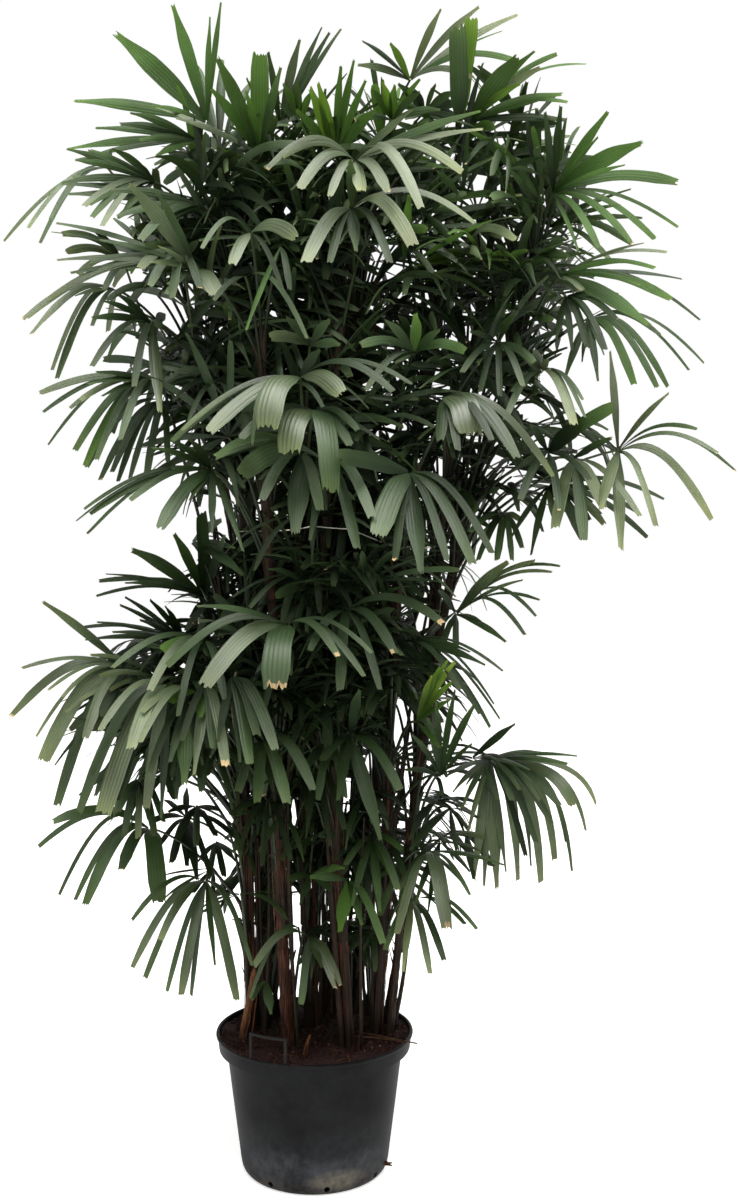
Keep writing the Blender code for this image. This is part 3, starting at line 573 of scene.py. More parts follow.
def catmull(points, t):
    n = len(points) - 1
    x = min(max(t, 0.0), 1.0) * n
    k = min(int(x), n - 1)
    f = x - k
    p1, p2 = points[k], points[k + 1]
    p0 = points[k - 1] if k else p1 * 2 - p2
    p3 = points[k + 2] if k + 2 <= n else p2 * 2 - p1
    return 0.5 * (p1 * 2 + (p2 - p0) * f + (p0 * 2 - p1 * 5 + p2 * 4 - p3) * f * f
                  + (p1 * 3 - p0 - p2 * 3 + p3) * f * f * f)


def cane_path(foot, stations):
    u, y = foot
    lo, hi = 600.0, 1300.0
    for _ in range(40):
        mid = (lo + hi) / 2
        if spot(u, mid, y)[2] > SOIL_TOP + GAP:
            lo = mid
        else:
            hi = mid
    base = spot(u, lo, y)
    base[2] = SOIL_TOP + GAP
    return [base] + [spot(*s) for s in stations]


CANE_LINE = {}
for k_cane, (name, foot, stations, r0, r1) in enumerate(CANES):
    rng = np.random.default_rng(400 + k_cane)
    path = cane_path(foot, stations)
    coarse = [catmull(path, k / 60) for k in range(61)]
    gaps = np.linalg.norm(np.diff(coarse, axis=0), axis=1)
    length = float(gaps.sum())
    young = name == "young_shoot"
    rows = 24 if young else int(length / 0.0085)
    sides = 20
    pts = np.array([catmull(path, k / rows) for k in range(rows + 1)])
    t = unit(np.gradient(pts, axis=0))
    ref = np.array((1.0, 0.0, 0.0))
    e1 = unit(ref - t * (t @ ref)[:, None])
    e2 = np.cross(t, e1)
    f = np.linspace(0, 1, rows + 1)
    z_run = f * length
    base_r = r0 + (r1 - r0) * f
    base_r = base_r * (0.92 + 0.10 * np.exp(-z_run / 0.040))
    # overlapping sheaths: each swells to its lip and steps back under the next
    step = 0.050 if not young else 0.03
    marks = [0.0]
    while marks[-1] < length + step:
        marks.append(marks[-1] + step * rng.uniform(0.7, 1.35))
    marks = np.array(marks)
    idx = np.clip(np.searchsorted(marks, z_run, side="right") - 1, 0, len(marks) - 2)
    frac = (z_run - marks[idx]) / (marks[idx + 1] - marks[idx])
    swell = 0.93 + 0.11 * frac ** 2.2 + rng.uniform(-0.03, 0.03, len(marks))[idx]
    ang = np.linspace(0, 2 * math.pi, sides + 1)[:-1] + 0.4
    groove = np.zeros((rows + 1, sides))
    for k in range(5):
        amp = (0.055, 0.045, 0.04, 0.03, 0.03)[k]
        fr = (2, 3, 5, 7, 9)[k]
        ph = rng.uniform(0, 6.28) + z_run * rng.uniform(-9, 9)
        groove += amp * np.sin(fr * ang[None, :] + ph[:, None])
    jit = rng.normal(0, 0.028, (rows + 1, sides))
    lip = 1 + 0.06 * (np.sin(3 * ang[None, :] + idx[:, None] * 2.1) > 0.55) * (frac[:, None] > 0.7)
    r = base_r[:, None] * swell[:, None] * (1 + groove + jit) * lip
    ring = e1[:, None, :] * np.cos(ang)[None, :, None] + e2[:, None, :] * np.sin(ang)[None, :, None]
    q = pts[:, None, :] + ring * r[..., None]
    q[0, :, 2] = SOIL_TOP - 0.012
    q = np.concatenate((q, q[:, :1]), 1)
    quads, uv = grid_quads(rows, sides)
    uv = uv * np.array((1.0, length * 6.0))
    mat = BARK if k_cane in (0, 1, 2, 4, 6, 10) else BARK_DARK
    b = Bunch(name + "_bark", [SHOOT if young else mat, SHEATH], "cane")
    cap_c = pts[-1] + t[-1] * 0.012
    cap = np.concatenate((q[-1], np.repeat(cap_c[None], sides + 1, 0)))
    cq, cuv = grid_quads(1, sides)
    frac_q = np.repeat(f[:-1], sides)
    # the upper part is wrapped in younger, greener fibre
    mats = np.where(frac_q + rng.uniform(-0.06, 0.06, len(frac_q)) > 0.62, 1, 0).astype(np.int32) if not young else np.zeros(len(quads), np.int32)
    b.add(q.reshape(-1, 3), quads, uv, mats)
    b.add(cap, cq, cuv, 1 if not young else 0)
    b.make()
    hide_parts(name)
    CANE_LINE[name] = (pts, t, r0 + (r1 - r0) * f)

ATTACH = [(n, p, t, r) for n, (p, t, r) in CANE_LINE.items() if n != "young_shoot"]


def nearest_cane(hub, rise, only=None):
    """Point on a cane a given rise below the hub, on the cane that is nearest."""
    best = None
    for n, p, t, r in ATTACH:
        if only and n != only:
            continue
        k = int(np.argmin(np.abs(p[:, 2] - (hub[2] - rise))))
        d = hub - p[k]
        cost = math.hypot(d[0], d[1]) + 0.8 * abs(d[2] - rise)
        if best is None or cost < best[0]:
            best = (cost, n, p[k], t[k], r[k])
    return best


# --------------------------------------------------------------------- fronds
LEAVES = Bunch("leaflets", LEAF_MATS, "frond")
STALKS = Bunch("stalks", [LEAF_MATS[TINT_AT["s"]], SHEATH, BARK_DARK, LEAF_MATS[TINT_AT["t"]]], "frond")
CELL = 4
FRONT = np.full((1200 // CELL + 1, 740 // CELL + 1), 9.0)


def note_front(q):
    """Remember how near the front the drawn leaflets come, cell by cell."""
    p = q.reshape(-1, 3)
    u, v = drawn(p)
    iu = np.clip((u / CELL).astype(int), 0, FRONT.shape[1] - 1)
    iv = np.clip((v / CELL).astype(int), 0, FRONT.shape[0] - 1)
    np.minimum.at(FRONT, (iv, iu), p[:, 1])


def grow_stalk(hub, toward, rise=0.2, only=None, r=0.0030, mat=0, sheath=True):
    best = nearest_cane(hub, rise, only)
    if best is None:
        return None
    _, n, c, t, rc = best
    out = hub - c
    out[2] = 0
    flat = np.linalg.norm(out)
    start = c + unit(out) * rc * 0.6
    mid = start * 0.45 + hub * 0.55
    mid = mid + UP * min(0.10, 0.10 + 0.25 * flat) * (0.6 if hub[2] > start[2] else 1.1)
    stalk(STALKS, (start, mid, hub), r * 1.35, r * 0.9, mat)
    if sheath:
        foot = start - t * 0.05
        tip = start + (mid - start) * 0.18
        stalk(STALKS, (foot, start, tip), rc * 0.75, r * 1.5, 1, 6, 4)
    return start


def turned_side(chord, hub, shown, wide, up_side=True):
    """Direction across a leaflet whose width shows as `shown` of `wide`."""
    view = unit(EYE - hub)
    s = unit(np.cross(chord, view))
    d = unit(view - unit(chord) * (unit(chord) @ view))
    cos = min(1.0, shown / wide)
    sin = math.sqrt(max(0.0, 1 - cos * cos))
    a, b = s * cos + d * sin, s * cos - d * sin
    na, nb = np.cross(chord, a), np.cross(chord, b)
    na = na if na @ view > 0 else -na
    nb = nb if nb @ view > 0 else -nb
    pick = na[2] >= nb[2]
    return a if pick == up_side else b


PX = 1.0 / 438.0


def drawn_frond(hub_uvy, tips, tint="m", bow=0.14, length=0.27, lean=-1, cane=None, rise=0.2, face_up=True, wide=17.0, stem=True, rng_seed=0):
    """A frond given on the drawing by its hub and the end of each leaflet.

    tips: (u, v, shown width[, bow[, codes]]).  Codes: a tint letter, t for a dry
    end, c for a cleft end, a for a leaflet that leans away from the front, w for
    one as wide at its end, h for one that runs out level and then hangs.
    """
    rng = np.random.default_rng(1000 + rng_seed)
    hub = spot(*hub_uvy)
    mean = np.zeros(3)
    for tip in tips:
        u, v, shown = tip[:3]
        b = tip[3] if len(tip) > 3 and tip[3] is not None else bow
        codes = tip[4] if len(tip) > 4 else ""
        colour, dry, cleft, way, square, level = tint, 0.0, False, lean, False, False
        for ch in codes:
            if ch == "t":
                dry = 0.09
            elif ch == "c":
                cleft = True
            elif ch == "a":
                way = -lean
            elif ch == "w":
                square = True
            elif ch == "h":
                level = True
            elif ch in TINT_AT:
                colour = ch
        flat = spot(u, v, hub_uvy[2])
        d = np.linalg.norm(flat - hub)
        full = max(d * 1.02, min(length, d * 1.7))
        dy = math.sqrt(max(0.0, full * full - d * d)) * way
        y = float(np.clip(hub_uvy[2] + dy, LO[1] + 0.01, HI[1] - 0.01))
        end = spot(u, v, y)
        chord = end - hub
        dist = np.linalg.norm(chord)
        slim = 1.0 if shown >= 14 or square else 0.92 if b < 0.09 else 0.88
        shown = shown * slim
        true_px = max(shown * 1.03, min(wide, max(7.0 if shown > 4.5 else 5.0, shown * 1.15)))
        w = true_px * PX
        side = turned_side(chord, hub, shown, true_px, face_up)
        root = hub + unit(chord) * 0.004
        stiff = b < 0.07
        arch = b * (1.5 if stiff else 2.3 if dist > 0.16 else 1.6)
        ctrl = hub + chord * (0.5 if stiff else 0.46) + UP * arch * dist
        if level:                     # runs out level, then hangs
            ctrl = hub + chord * np.array((0.86, 0.86, 0.10)) + UP * b * dist
        blunt = 0.78 if square else rng.uniform(0.24, 0.42) if stiff else rng.uniform(0.55, 0.78)
        q = leaflet(LEAVES, root, ctrl, end, w, side, colour, rng, rows=14, cols=12 if shown >= 12 else 8 if shown >= 8 else 6,
                    blunt=blunt, tan=0.035 if dry else (0.012 if rng.random() < 0.08 and not stiff else 0), cleft=cleft,
                    fold=rng.uniform(0.02, 0.12), twist=rng.uniform(-0.12, 0.12), belly=0.34 if square else 0.42 if stiff else 0.34, stem=0.34 if stiff else 0.24)
        note_front(q)
        mean += chord
    if stem:
        grow_stalk(hub, mean, rise, cane)


# Each line: hub (u, v, y), leaflet ends (u, v, shown width[, bow[, codes]]), options; tint letters k and d there paint
# shade, g and b sunlight, p and q sheen
HEROES = [
    # top left
    ((207, 122, 0.05), [(116, 34, 18, .03), (173, 6, 13, .03), (221, 2, 6, .03), (210, 17, 6, .03), (74, 101, 12, .05), (152, 106, 5, .05)], dict(tint="g", cane="cane_left_rear")),
    ((260, 155, 0.00), [(217, 58, 14, .03), (211, 89, 11, .04), (260, 54, 17, .02, "w"), (281, 67, 9, .03, "e"), (153, 106, 5, .05, "p"), (246, 91, 8, .04), (176, 118, 6, .05, "p"), (236, 100, 9, .04, "e")], dict(tint="g", cane="cane_left_rear")),
    ((280, 130, 0.16), [(300, 39, 10, .05, "p"), (322, 27, 7, .05), (330, 32, 7, .05), (341, 29, 6, .05), (268, 52, 8, .03)], dict(tint="m")),
    ((335, 160, 0.06), [(318, 83, 12, .03, "b"), (341, 66, 8, .03), (354, 60, 8, .03), (366, 80, 8, .03), (310, 88, 12, .03, "b"), (296, 110, 10, .05), (376, 110, 12, .06)], dict(tint="g")),
    ((196, 140, 0.10), [(68, 149, 9, .04), (130, 113, 8, .05, "e"), (156, 156, 8, .04), (96, 128, 7, .04, "e"), (84, 158, 6, .05, "e"), (140, 140, 9, .04, "e"), (120, 124, 8, .05, "d")], dict(tint="g")),
    ((107, 167, 0.10), [(4, 241, 4, .10), (28, 228, 4, .12), (50, 219, 4, .12, "m"), (40, 243, 4, .14, "m"), (88, 150, 6, .05), (75, 160, 7, .05), (112, 149, 6, .04)], dict(tint="p", cane="cane_rear_left")),
    # waist
    ((192, 543, 0.02), [(235, 548, 8, .04), (222, 520, 10, .04), (243, 575, 10, .06)], dict(tint="m")),
    # lower left
    ((262, 740, -0.26), [(257, 802, 11, .08, "m"), (287, 803, 12, .12, "m"), (313, 789, 10, .16, "d"), (238, 792, 9, .10, "d"), (272, 790, 7, .06, "k")], dict(tint="m", cane="cane_left_front")),
    ((330, 742, -0.18), [(318, 800, 8, .10, "d"), (345, 798, 8, .10, "d"), (305, 770, 8, .10, "k")], dict(tint="d", cane="cane_mid_left")),
    ((150, 828, 0.02), [(53, 822, 10, .12), (39, 846, 7, .18), (59, 895, 5, .30), (85, 905, 13, .24), (75, 900, 6, .24), (159, 902, 17, .12), (121, 870, 12, .14, "d")], dict(tint="m", cane="cane_left_outer")),
    # over the pot
    ((350, 735, -0.20), [(381, 841, 14, .05), (338, 800, 10, .05, "d"), (400, 790, 9, .10, "d"), (360, 690, 10, .04, "d"), (322, 760, 9, .10, "d")], dict(tint="m", cane="cane_mid_front")),
    ((318, 760, -0.10), [(306, 838, 7, .06), (330, 846, 7, .06), (345, 830, 7, .08), (350, 775, 6, .08)], dict(tint="k", cane="cane_mid_left")),
    ((268, 800, -0.10), [(240, 850, 5, .12), (262, 866, 6, .08), (291, 860, 6, .10), (230, 815, 5, .10)], dict(tint="k", cane="cane_left_front")),
    ((372, 835, -0.04), [(352, 905, 8, .06, "m"), (380, 912, 9, .05, "e"), (398, 890, 8, .08, "m"), (345, 865, 7, .10, "m"), (402, 850, 7, .10, "e"), (388, 872, 8, .06, "e")], dict(tint="m", cane="cane_right_rear")),
    ((310, 875, -0.05), [(345, 868, 8, .06, "g"), (290, 880, 7, .08), (330, 890, 8, .08), (300, 905, 7, .06)], dict(tint="m", cane="cane_mid_left", rise=0.12)),
    ((348, 880, -0.14), [(340, 931, 14, .05, "g"), (383, 943, 8, .10), (310, 877, 9, .05), (362, 925, 8, .06)], dict(tint="e", cane="cane_mid_front", rise=0.1)),
    # lower right
    # right outer
    # upper centre, flat umbrellas
    ((245, 276, -0.20), [(307, 338, 5, .14, "e"), (214, 300, 5, .1, "d")], dict(tint="k")),
    ((281, 246, -0.20), [(246, 330, 5, .06, "g"), (290, 290, 6, .08, "d")], dict(tint="k")),
    ((310, 345, -0.30), [(270, 337, 10, .08, "p"), (340, 345, 9, .06), (330, 320, 9, .04), (286, 318, 9, .04)], dict(tint="m", cane="cane_mid_left", length=0.16)),
    # centre
    ((300, 376, -0.36), [(172, 441, 7, .10, "m"), (182, 430, 5, .10, "p"), (209, 431, 12, .075, "p"), (252, 444, 9, .06, "hm"), (267, 427, 21, .06, "hpw"), (341, 394, 14, .14, "p"), (393, 391, 6, .14, "d"), (412, 384, 4, .12, "d"), (320, 350, 9, .03, "d")], dict(tint="m", cane="cane_mid_left", wide=23)),
    ((314, 410, -0.34), [(289, 451, 22, .08, "hpw"), (331, 490, 17, .08, "hm"), (350, 445, 9, .10, "d"), (241, 438, 9, .10, "d"), (358, 430, 6, .10, "d")], dict(tint="m", cane="cane_mid_left", wide=23)),
    ((444, 396, -0.34), [(470, 434, 24, .06, "hpw"), (517, 457, 11, .14, "m"), (553, 476, 7, .16, "p"), (440, 440, 11, .08, "d"), (492, 440, 7, .12, "d"), (458, 450, 8, .10, "d")], dict(tint="m", cane="cane_right_lean", wide=25)),
    ((409, 472, -0.33), [(341, 456, 14, .03, "dw"), (378, 535, 19, .08, "m"), (421, 572, 15, .05, "d"), (473, 564, 11, .12, "m"), (492, 553, 7, .14, "d"), (402, 515, 9, .05, "k"), (447, 560, 8, .10, "d"), (395, 560, 8, .08, "k")], dict(tint="d", cane="cane_right_front", length=0.29)),
    ((328, 462, -0.30), [(357, 548, 11, .10, "d"), (372, 517, 10, .14, "m"), (215, 457, 8, .12, "m"), (345, 500, 8, .08, "k"), (310, 540, 9, .06, "k")], dict(tint="d", cane="cane_mid_left")),
    ((155, 182, -0.02), [(92, 217, 6, .08), (102, 226, 6, .10, "p"), (84, 206, 5, .08, "p"), (112, 149, 8, .05), (76, 160, 8, .05), (61, 183, 8, .06), (122, 214, 8, .06), (131, 162, 8, .05), (90, 205, 7, .06), (91, 150, 5, .04), (67, 149, 8, .04)], dict(tint="e")),
    ((200, 205, -0.04), [(61, 184, 7, .05), (68, 194, 11, .04), (118, 216, 9, .06), (110, 190, 8, .05), (140, 240, 8, .08), (72, 176, 5, .04), (150, 232, 8, .06, "d")], dict(tint="m")),
    ((196, 269, -0.12), [(129, 184, 14, .04, "p"), (155, 189, 8, .04), (56, 223, 5, .06), (57, 260, 6, .06, "p"), (70, 273, 7, .06), (48, 299, 6, .12, "p"), (28, 318, 4, .12, "p"), (166, 294, 6, .08), (217, 295, 15, .10, "p"), (100, 240, 5, .05), (64, 290, 5, .10), (52, 232, 4, .05), (90, 262, 4, .08, "d"), (150, 262, 6, .04, "p"), (158, 246, 5, .04, "p"), (168, 284, 5, .05, "p")], dict(tint="m", cane="cane_left_front")),
    ((118, 290, 0.02), [(57, 378, 8, .20, "m"), (52, 370, 5, .22), (42, 321, 6, .12), (23, 319, 5, .12), (31, 334, 4, .14), (92, 326, 5, .12, "m"), (108, 331, 6, .12), (75, 296, 4, .06)], dict(tint="p", cane="cane_rear_left")),
    ((152, 323, -0.06), [(92, 318, 8, .05), (103, 301, 6, .05), (115, 293, 6, .05), (92, 366, 6, .12), (134, 386, 8, .12), (160, 412, 12, .06, "p")], dict(tint="d")),
    ((158, 382, -0.08), [(88, 384, 5, .05), (96, 372, 5, .04, "d"), (80, 400, 5, .08, "p"), (102, 396, 6, .06, "d"), (112, 378, 6, .04), (75, 450, 8, .16, "e"), (85, 466, 8, .18, "g"), (96, 460, 7, .18), (48, 445, 4, .18), (40, 393, 7, .08, "p"), (70, 408, 5, .10), (43, 412, 5, .12), (120, 440, 8, .16)], dict(tint="m", cane="cane_rear_left")),
    ((165, 400, 0.06), [(100, 480, 7, .14), (118, 481, 7, .14), (112, 472, 7, .12), (146, 480, 8, .12), (168, 462, 7, .10), (87, 467, 6, .16), (130, 478, 6, .12)], dict(tint="d")),
    ((212, 469, -0.10), [(84, 509, 4, .10), (90, 514, 6, .08), (76, 521, 3, .10), (87, 534, 4, .12), (160, 528, 13, .08), (212, 533, 8, .06), (243, 551, 7, .06), (190, 500, 7, .06), (190, 440, 8, .04), (130, 500, 6, .08), (152, 448, 6, .05), (170, 440, 6, .04)], dict(tint="m", cane="cane_left_front")),
    ((205, 597, 0.08), [(132, 550, 13, .06, "m"), (174, 534, 11, .03, "e"), (201, 514, 12, .03, "w"), (125, 583, 6, .06), (150, 578, 6, .05), (96, 596, 4, .08), (99, 581, 5, .07), (106, 574, 4, .06), (225, 535, 10, .03)], dict(tint="d", cane="cane_left_outer")),
    ((126, 668, -0.02), [(43, 602, 9, .04, "q"), (22, 668, 4, .08, "q"), (11, 716, 11, .17, "p"), (36, 737, 4, .18, "q"), (43, 761, 15, .18, "q"), (57, 805, 12, .16, "m"), (85, 738, 12, .14, "q"), (112, 718, 8, .10, "m"), (62, 697, 4, .10), (48, 690, 3, .10), (70, 760, 5, .16, "d"), (64, 792, 4, .2, "d")], dict(tint="p", cane="cane_left_outer")),
    ((168, 684, -0.30), [(103, 813, 17, .16, "q"), (79, 812, 11, .20, "m"), (146, 808, 11, .10, "p"), (131, 748, 13, .12, "q"), (161, 818, 8, .06, "d"), (92, 775, 6, .18, "d"), (118, 800, 6, .1, "k"), (100, 730, 6, .14, "p")], dict(tint="m", cane="cane_left_front", wide=19)),
    ((185, 642, 0.05), [(85, 640, 5, .06), (97, 622, 5, .05), (78, 628, 4, .07), (120, 605, 5, .03), (125, 597, 5, .03), (150, 600, 6, .03), (165, 606, 6, .03), (140, 620, 6, .04), (112, 632, 5, .04)], dict(tint="d", cane="cane_left_outer", rise=0.1)),
    ((170, 690, 0.02), [(80, 700, 6, .12), (66, 712, 5, .16), (95, 730, 7, .14), (110, 690, 5, .10), (100, 676, 5, .08), (90, 655, 4, .08)], dict(tint="p", cane="cane_left_outer", rise=0.1)),
    ((188, 702, -0.28), [(184, 784, 16, .06, "e"), (170, 762, 9, .06, "d"), (150, 772, 7, .10, "k"), (203, 765, 8, .05, "k"), (176, 800, 7, .05, "k")], dict(tint="m", cane="cane_left_front")),
    ((207, 682, -0.30), [(194, 775, 10, .06, "q"), (226, 766, 10, .10, "pt"), (200, 717, 15, .04, "g"), (213, 748, 8, .08, "d"), (182, 740, 7, .08, "k")], dict(tint="m", cane="cane_left_front")),
    ((287, 624, -0.36), [(167, 666, 8, .16, "m"), (205, 685, 15, .13, "p"), (275, 686, 23, .06, "hmwt"), (338, 656, 7, .14, "t"), (364, 676, 6, .14), (372, 653, 4, .12), (197, 606, 5, .06)], dict(tint="m", cane="cane_left_front", wide=24)),
    ((232, 676, -0.30), [(250, 764, 11, .10, "m"), (257, 735, 10, .12, "d"), (275, 749, 11, .12, "m"), (218, 742, 8, .06, "k"), (240, 762, 7, .06, "k")], dict(tint="m", stem=False)),
    ((205, 640, -0.20), [(162, 650, 11, .08, "g"), (150, 690, 8, .14, "p"), (178, 716, 7, .14, "d"), (225, 700, 8, .12, "d"), (112, 668, 6, .12), (208, 656, 11, .06, "d")], dict(tint="m", cane="cane_left_outer")),
    ((196, 690, -0.29), [(170, 702, 9, .10, "g"), (140, 742, 6, .14, "p"), (142, 712, 6, .10, "p")], dict(tint="m", stem=False)),
    ((206, 880, -0.10), [(132, 968, 8, .16, "p"), (145, 978, 7, .14), (167, 991, 6, .10), (181, 995, 10, .08, "p"), (191, 996, 5, .08), (237, 1000, 11, .10, "p"), (252, 965, 5, .16), (160, 940, 8, .12, "p"), (150, 962, 6, .12), (215, 965, 6, .06), (132, 920, 5, .14)], dict(tint="m", cane="cane_left_outer")),
    ((186, 817, 0.16), [(150, 822, 6, .08), (164, 800, 6, .06), (205, 812, 7, .06), (187, 866, 11, .06), (197, 880, 11, .06), (172, 862, 9, .08), (236, 838, 5, .08), (210, 874, 6, .08), (187, 788, 7, .04), (160, 845, 6, .1)], dict(tint="k", cane="cane_rear_left")),
    ((309, 936, -0.16), [(301, 1004, 8, .08), (338, 987, 13, .18, "cp"), (254, 966, 8, .30, "p"), (322, 968, 7, .06), (250, 998, 5, .34)], dict(tint="m", stem=False, length=0.17)),
    ((266, 980, -0.12), [(271, 1014, 10, .05), (252, 1000, 5, .1)], dict(tint="m", stem=False, length=0.1)),
    ((428, 851, -0.06), [(447, 929, 14, .16, "tp"), (463, 884, 4, .06), (504, 865, 5, .05), (397, 933, 9, .12, "p"), (470, 895, 4, .1)], dict(tint="m", cane="cane_right_front", rise=0.1)),
    ((412, 900, -0.08), [(403, 971, 8, .06, "u"), (430, 973, 7, .08, "p"), (444, 960, 7, .10, "d"), (465, 924, 4, .10), (477, 929, 3, .12), (385, 950, 6, .08)], dict(tint="m", cane="cane_right_front", rise=0.1)),
    ((405, 865, 0.00), [(401, 923, 8, .06, "p"), (380, 915, 7, .08), (440, 880, 5, .08), (375, 880, 6, .06)], dict(tint="m", cane="cane_right_front", rise=0.1)),
    ((450, 808, 0.04), [(457, 856, 6, .06), (410, 850, 9, .06), (420, 800, 6, .06), (468, 830, 4, .08), (478, 818, 3, .08)], dict(tint="d", cane="cane_right_lean", rise=0.1)),
    ((440, 842, 0.03), [(415, 905, 7, .06), (428, 912, 7, .06, "d"), (402, 888, 7, .08, "d"), (470, 872, 5, .06, "d"), (482, 852, 4, .06), (484, 838, 5, .08, "p")], dict(tint="m", cane="cane_right_lean", rise=0.1)),
    ((490, 758, 0.00), [(474, 878, 11, .06, "q"), (497, 888, 15, .06, "q"), (484, 886, 9, .06, "p"), (506, 872, 8, .06, "p"), (518, 880, 12, .06, "hp"), (541, 882, 10, .10, "hp"), (512, 800, 9, .10, "d"), (536, 842, 8, .12, "d"), (552, 824, 8, .12, "d"), (526, 856, 7, .10, "k"), (560, 806, 8, .10, "d"), (531, 866, 7, .06, "hm"), (555, 860, 9, .10, "hp"), (572, 871, 5, .12, "h"), (586, 831, 6, .10, "hp"), (596, 804, 6, .10, "hu"), (572, 805, 11, .08, "hp"), (453, 792, 6, .06, "p"), (462, 808, 6, .06), (446, 776, 5, .04), (468, 832, 6, .06, "p"), (568, 764, 6, .04), (577, 756, 4, .04), (540, 752, 5, .04), (466, 785, 5, .06, "p"), (566, 842, 5, .10, "h")], dict(tint="m", cane="cane_right_lean", rise=0.02)),
    ((417, 722, -0.12), [(455, 662, 8, .04, "y"), (448, 660, 7, .04), (440, 667, 7, .04), (455, 680, 6, .04), (432, 676, 6, .04, "y"), (450, 700, 6, .04, "g"), (440, 748, 6, .04, "g")], dict(tint="b", cane="cane_right_front", rise=0.12)),
    ((472, 758, 0.03), [(515, 724, 8, .02, "d"), (498, 800, 5, .10, "d"), (520, 790, 5, .12, "d"), (540, 800, 5, .14, "d"), (530, 770, 5, .06, "d")], dict(tint="d", cane="cane_right_lean", rise=0.1)),
    ((441, 776, -0.02), [(475, 704, 8, .04), (428, 718, 8, .04), (455, 690, 7, .04), (412, 735, 6, .04), (472, 744, 5, .05), (405, 770, 6, .06), (436, 700, 6, .04)], dict(tint="e", cane="cane_right_front", rise=0.1)),
    ((456, 614, 0.02), [(508, 562, 11, .04, "q"), (440, 652, 7, .08, "d"), (456, 650, 7, .08, "d"), (438, 590, 7, .05, "d"), (560, 566, 4, .14), (552, 572, 4, .12, "q"), (523, 580, 4, .06, "q"), (536, 616, 3, .20), (525, 635, 4, .18), (506, 642, 7, .05), (481, 622, 6, .05), (535, 561, 4, .08, "q"), (540, 600, 3, .1)], dict(tint="m", cane="cane_right_lean")),
    ((345, 610, -0.30), [(395, 653, 9, .12, "t"), (443, 623, 8, .12, "t"), (380, 690, 8, .12), (340, 690, 10, .08), (310, 650, 8, .10)], dict(tint="d", cane="cane_mid_front")),
    ((405, 640, -0.12), [(485, 665, 8, .05), (503, 671, 3, .10), (494, 704, 3, .16), (490, 727, 5, .14), (500, 719, 3, .14), (480, 714, 5, .12), (460, 690, 6, .10), (470, 652, 4, .06)], dict(tint="d", cane="cane_right_front")),
    ((618, 450, -0.06), [(669, 393, 6, .04, "u"), (610, 351, 8, .03, "u"), (697, 429, 4, .10), (718, 453, 4, .14, "p"), (736, 471, 4, .18), (712, 520, 9, .20, "u"), (656, 526, 6, .14, "u"), (621, 549, 13, .06, "u"), (601, 509, 12, .06, "u"), (585, 430, 4, .05), (640, 470, 5, .1)], dict(tint="m", cane="cane_far_right")),
    ((548, 486, 0.12), [(592, 502, 7, .06), (604, 524, 8, .08, "p"), (566, 512, 7, .06), (590, 520, 6, .08, "d"), (575, 478, 6, .04, "d"), (531, 555, 8, .06), (647, 537, 7, .10), (664, 499, 5, .10), (583, 539, 11, .08), (555, 526, 8, .06, "p"), (639, 513, 5, .08), (510, 540, 6, .06), (600, 480, 5, .05), (580, 505, 6, .05)], dict(tint="d", cane="cane_far_right")),
    ((573, 458, -0.04), [(555, 528, 12, .07, "p"), (584, 540, 12, .10, "m"), (603, 507, 12, .08, "u"), (612, 438, 8, .03, "t"), (640, 516, 6, .10, "p"), (595, 448, 6, .04)], dict(tint="m", cane="cane_far_right", rise=0.1)),
    ((548, 452, -0.10), [(613, 407, 12, .05, "ew"), (579, 427, 14, .04, "kw"), (560, 510, 8, .08), (520, 500, 8, .08), (590, 480, 6, .08), (530, 425, 8, .04), (515, 470, 6, .06)], dict(tint="d", cane="cane_right_lean")),
    ((541, 371, -0.08), [(530, 356, 14, .10, "pw"), (574, 424, 10, .14, "u"), (585, 417, 3, .14), (583, 400, 3, .12), (549, 360, 8, .04, "u"), (505, 420, 7, .1), (512, 392, 6, .08)], dict(tint="m", cane="cane_far_right")),
    ((560, 275, -0.12), [(671, 299, 8, .08), (682, 279, 4, .06, "d"), (667, 252, 3, .08, "p"), (700, 320, 3, .12, "d"), (644, 243, 3, .05, "p"), (649, 325, 14, .06), (583, 290, 5, .08, "p"), (625, 262, 5, .05), (640, 285, 5, .06), (655, 268, 4, .08)], dict(tint="g", cane="cane_far_right")),
    ((566, 296, 0.04), [(600, 334, 7, .08, "e"), (617, 320, 6, .08), (588, 348, 8, .08, "d"), (628, 303, 5, .06, "e"), (572, 350, 7, .06, "d"), (606, 350, 6, .10), (618, 294, 6, .05), (556, 340, 7, .06, "d"), (594, 300, 7, .05, "d")], dict(tint="m", cane="cane_far_right")),
    ((588, 319, 0.10), [(634, 384, 9, .14, "g"), (657, 387, 7, .16, "e"), (668, 387, 7, .18, "e"), (689, 370, 3, .18), (704, 363, 3, .16), (598, 381, 8, .05), (604, 355, 5, .06), (565, 378, 8, .05), (582, 362, 5, .06), (660, 335, 5, .1), (620, 345, 6, .08)], dict(tint="m", cane="cane_far_right")),
    ((553, 193, 0.02), [(608, 112, 10, .03), (598, 137, 5, .03), (642, 143, 16, .06), (625, 165, 5, .04), (677, 182, 11, .08), (678, 227, 4, .10), (655, 239, 6, .12), (631, 242, 7, .10), (599, 248, 7, .08), (578, 250, 5, .06), (561, 106, 8, .03, "d"), (545, 112, 8, .03, "d")], dict(tint="g", cane="cane_far_right")),
    ((549, 227, 0.14), [(642, 218, 6, .06), (631, 189, 4, .05), (632, 244, 7, .10), (620, 205, 5, .05), (566, 118, 8, .03), (547, 150, 8, .03), (600, 200, 6, .05), (510, 170, 8, .04), (610, 260, 5, .08)], dict(tint="e", cane="cane_far_right")),
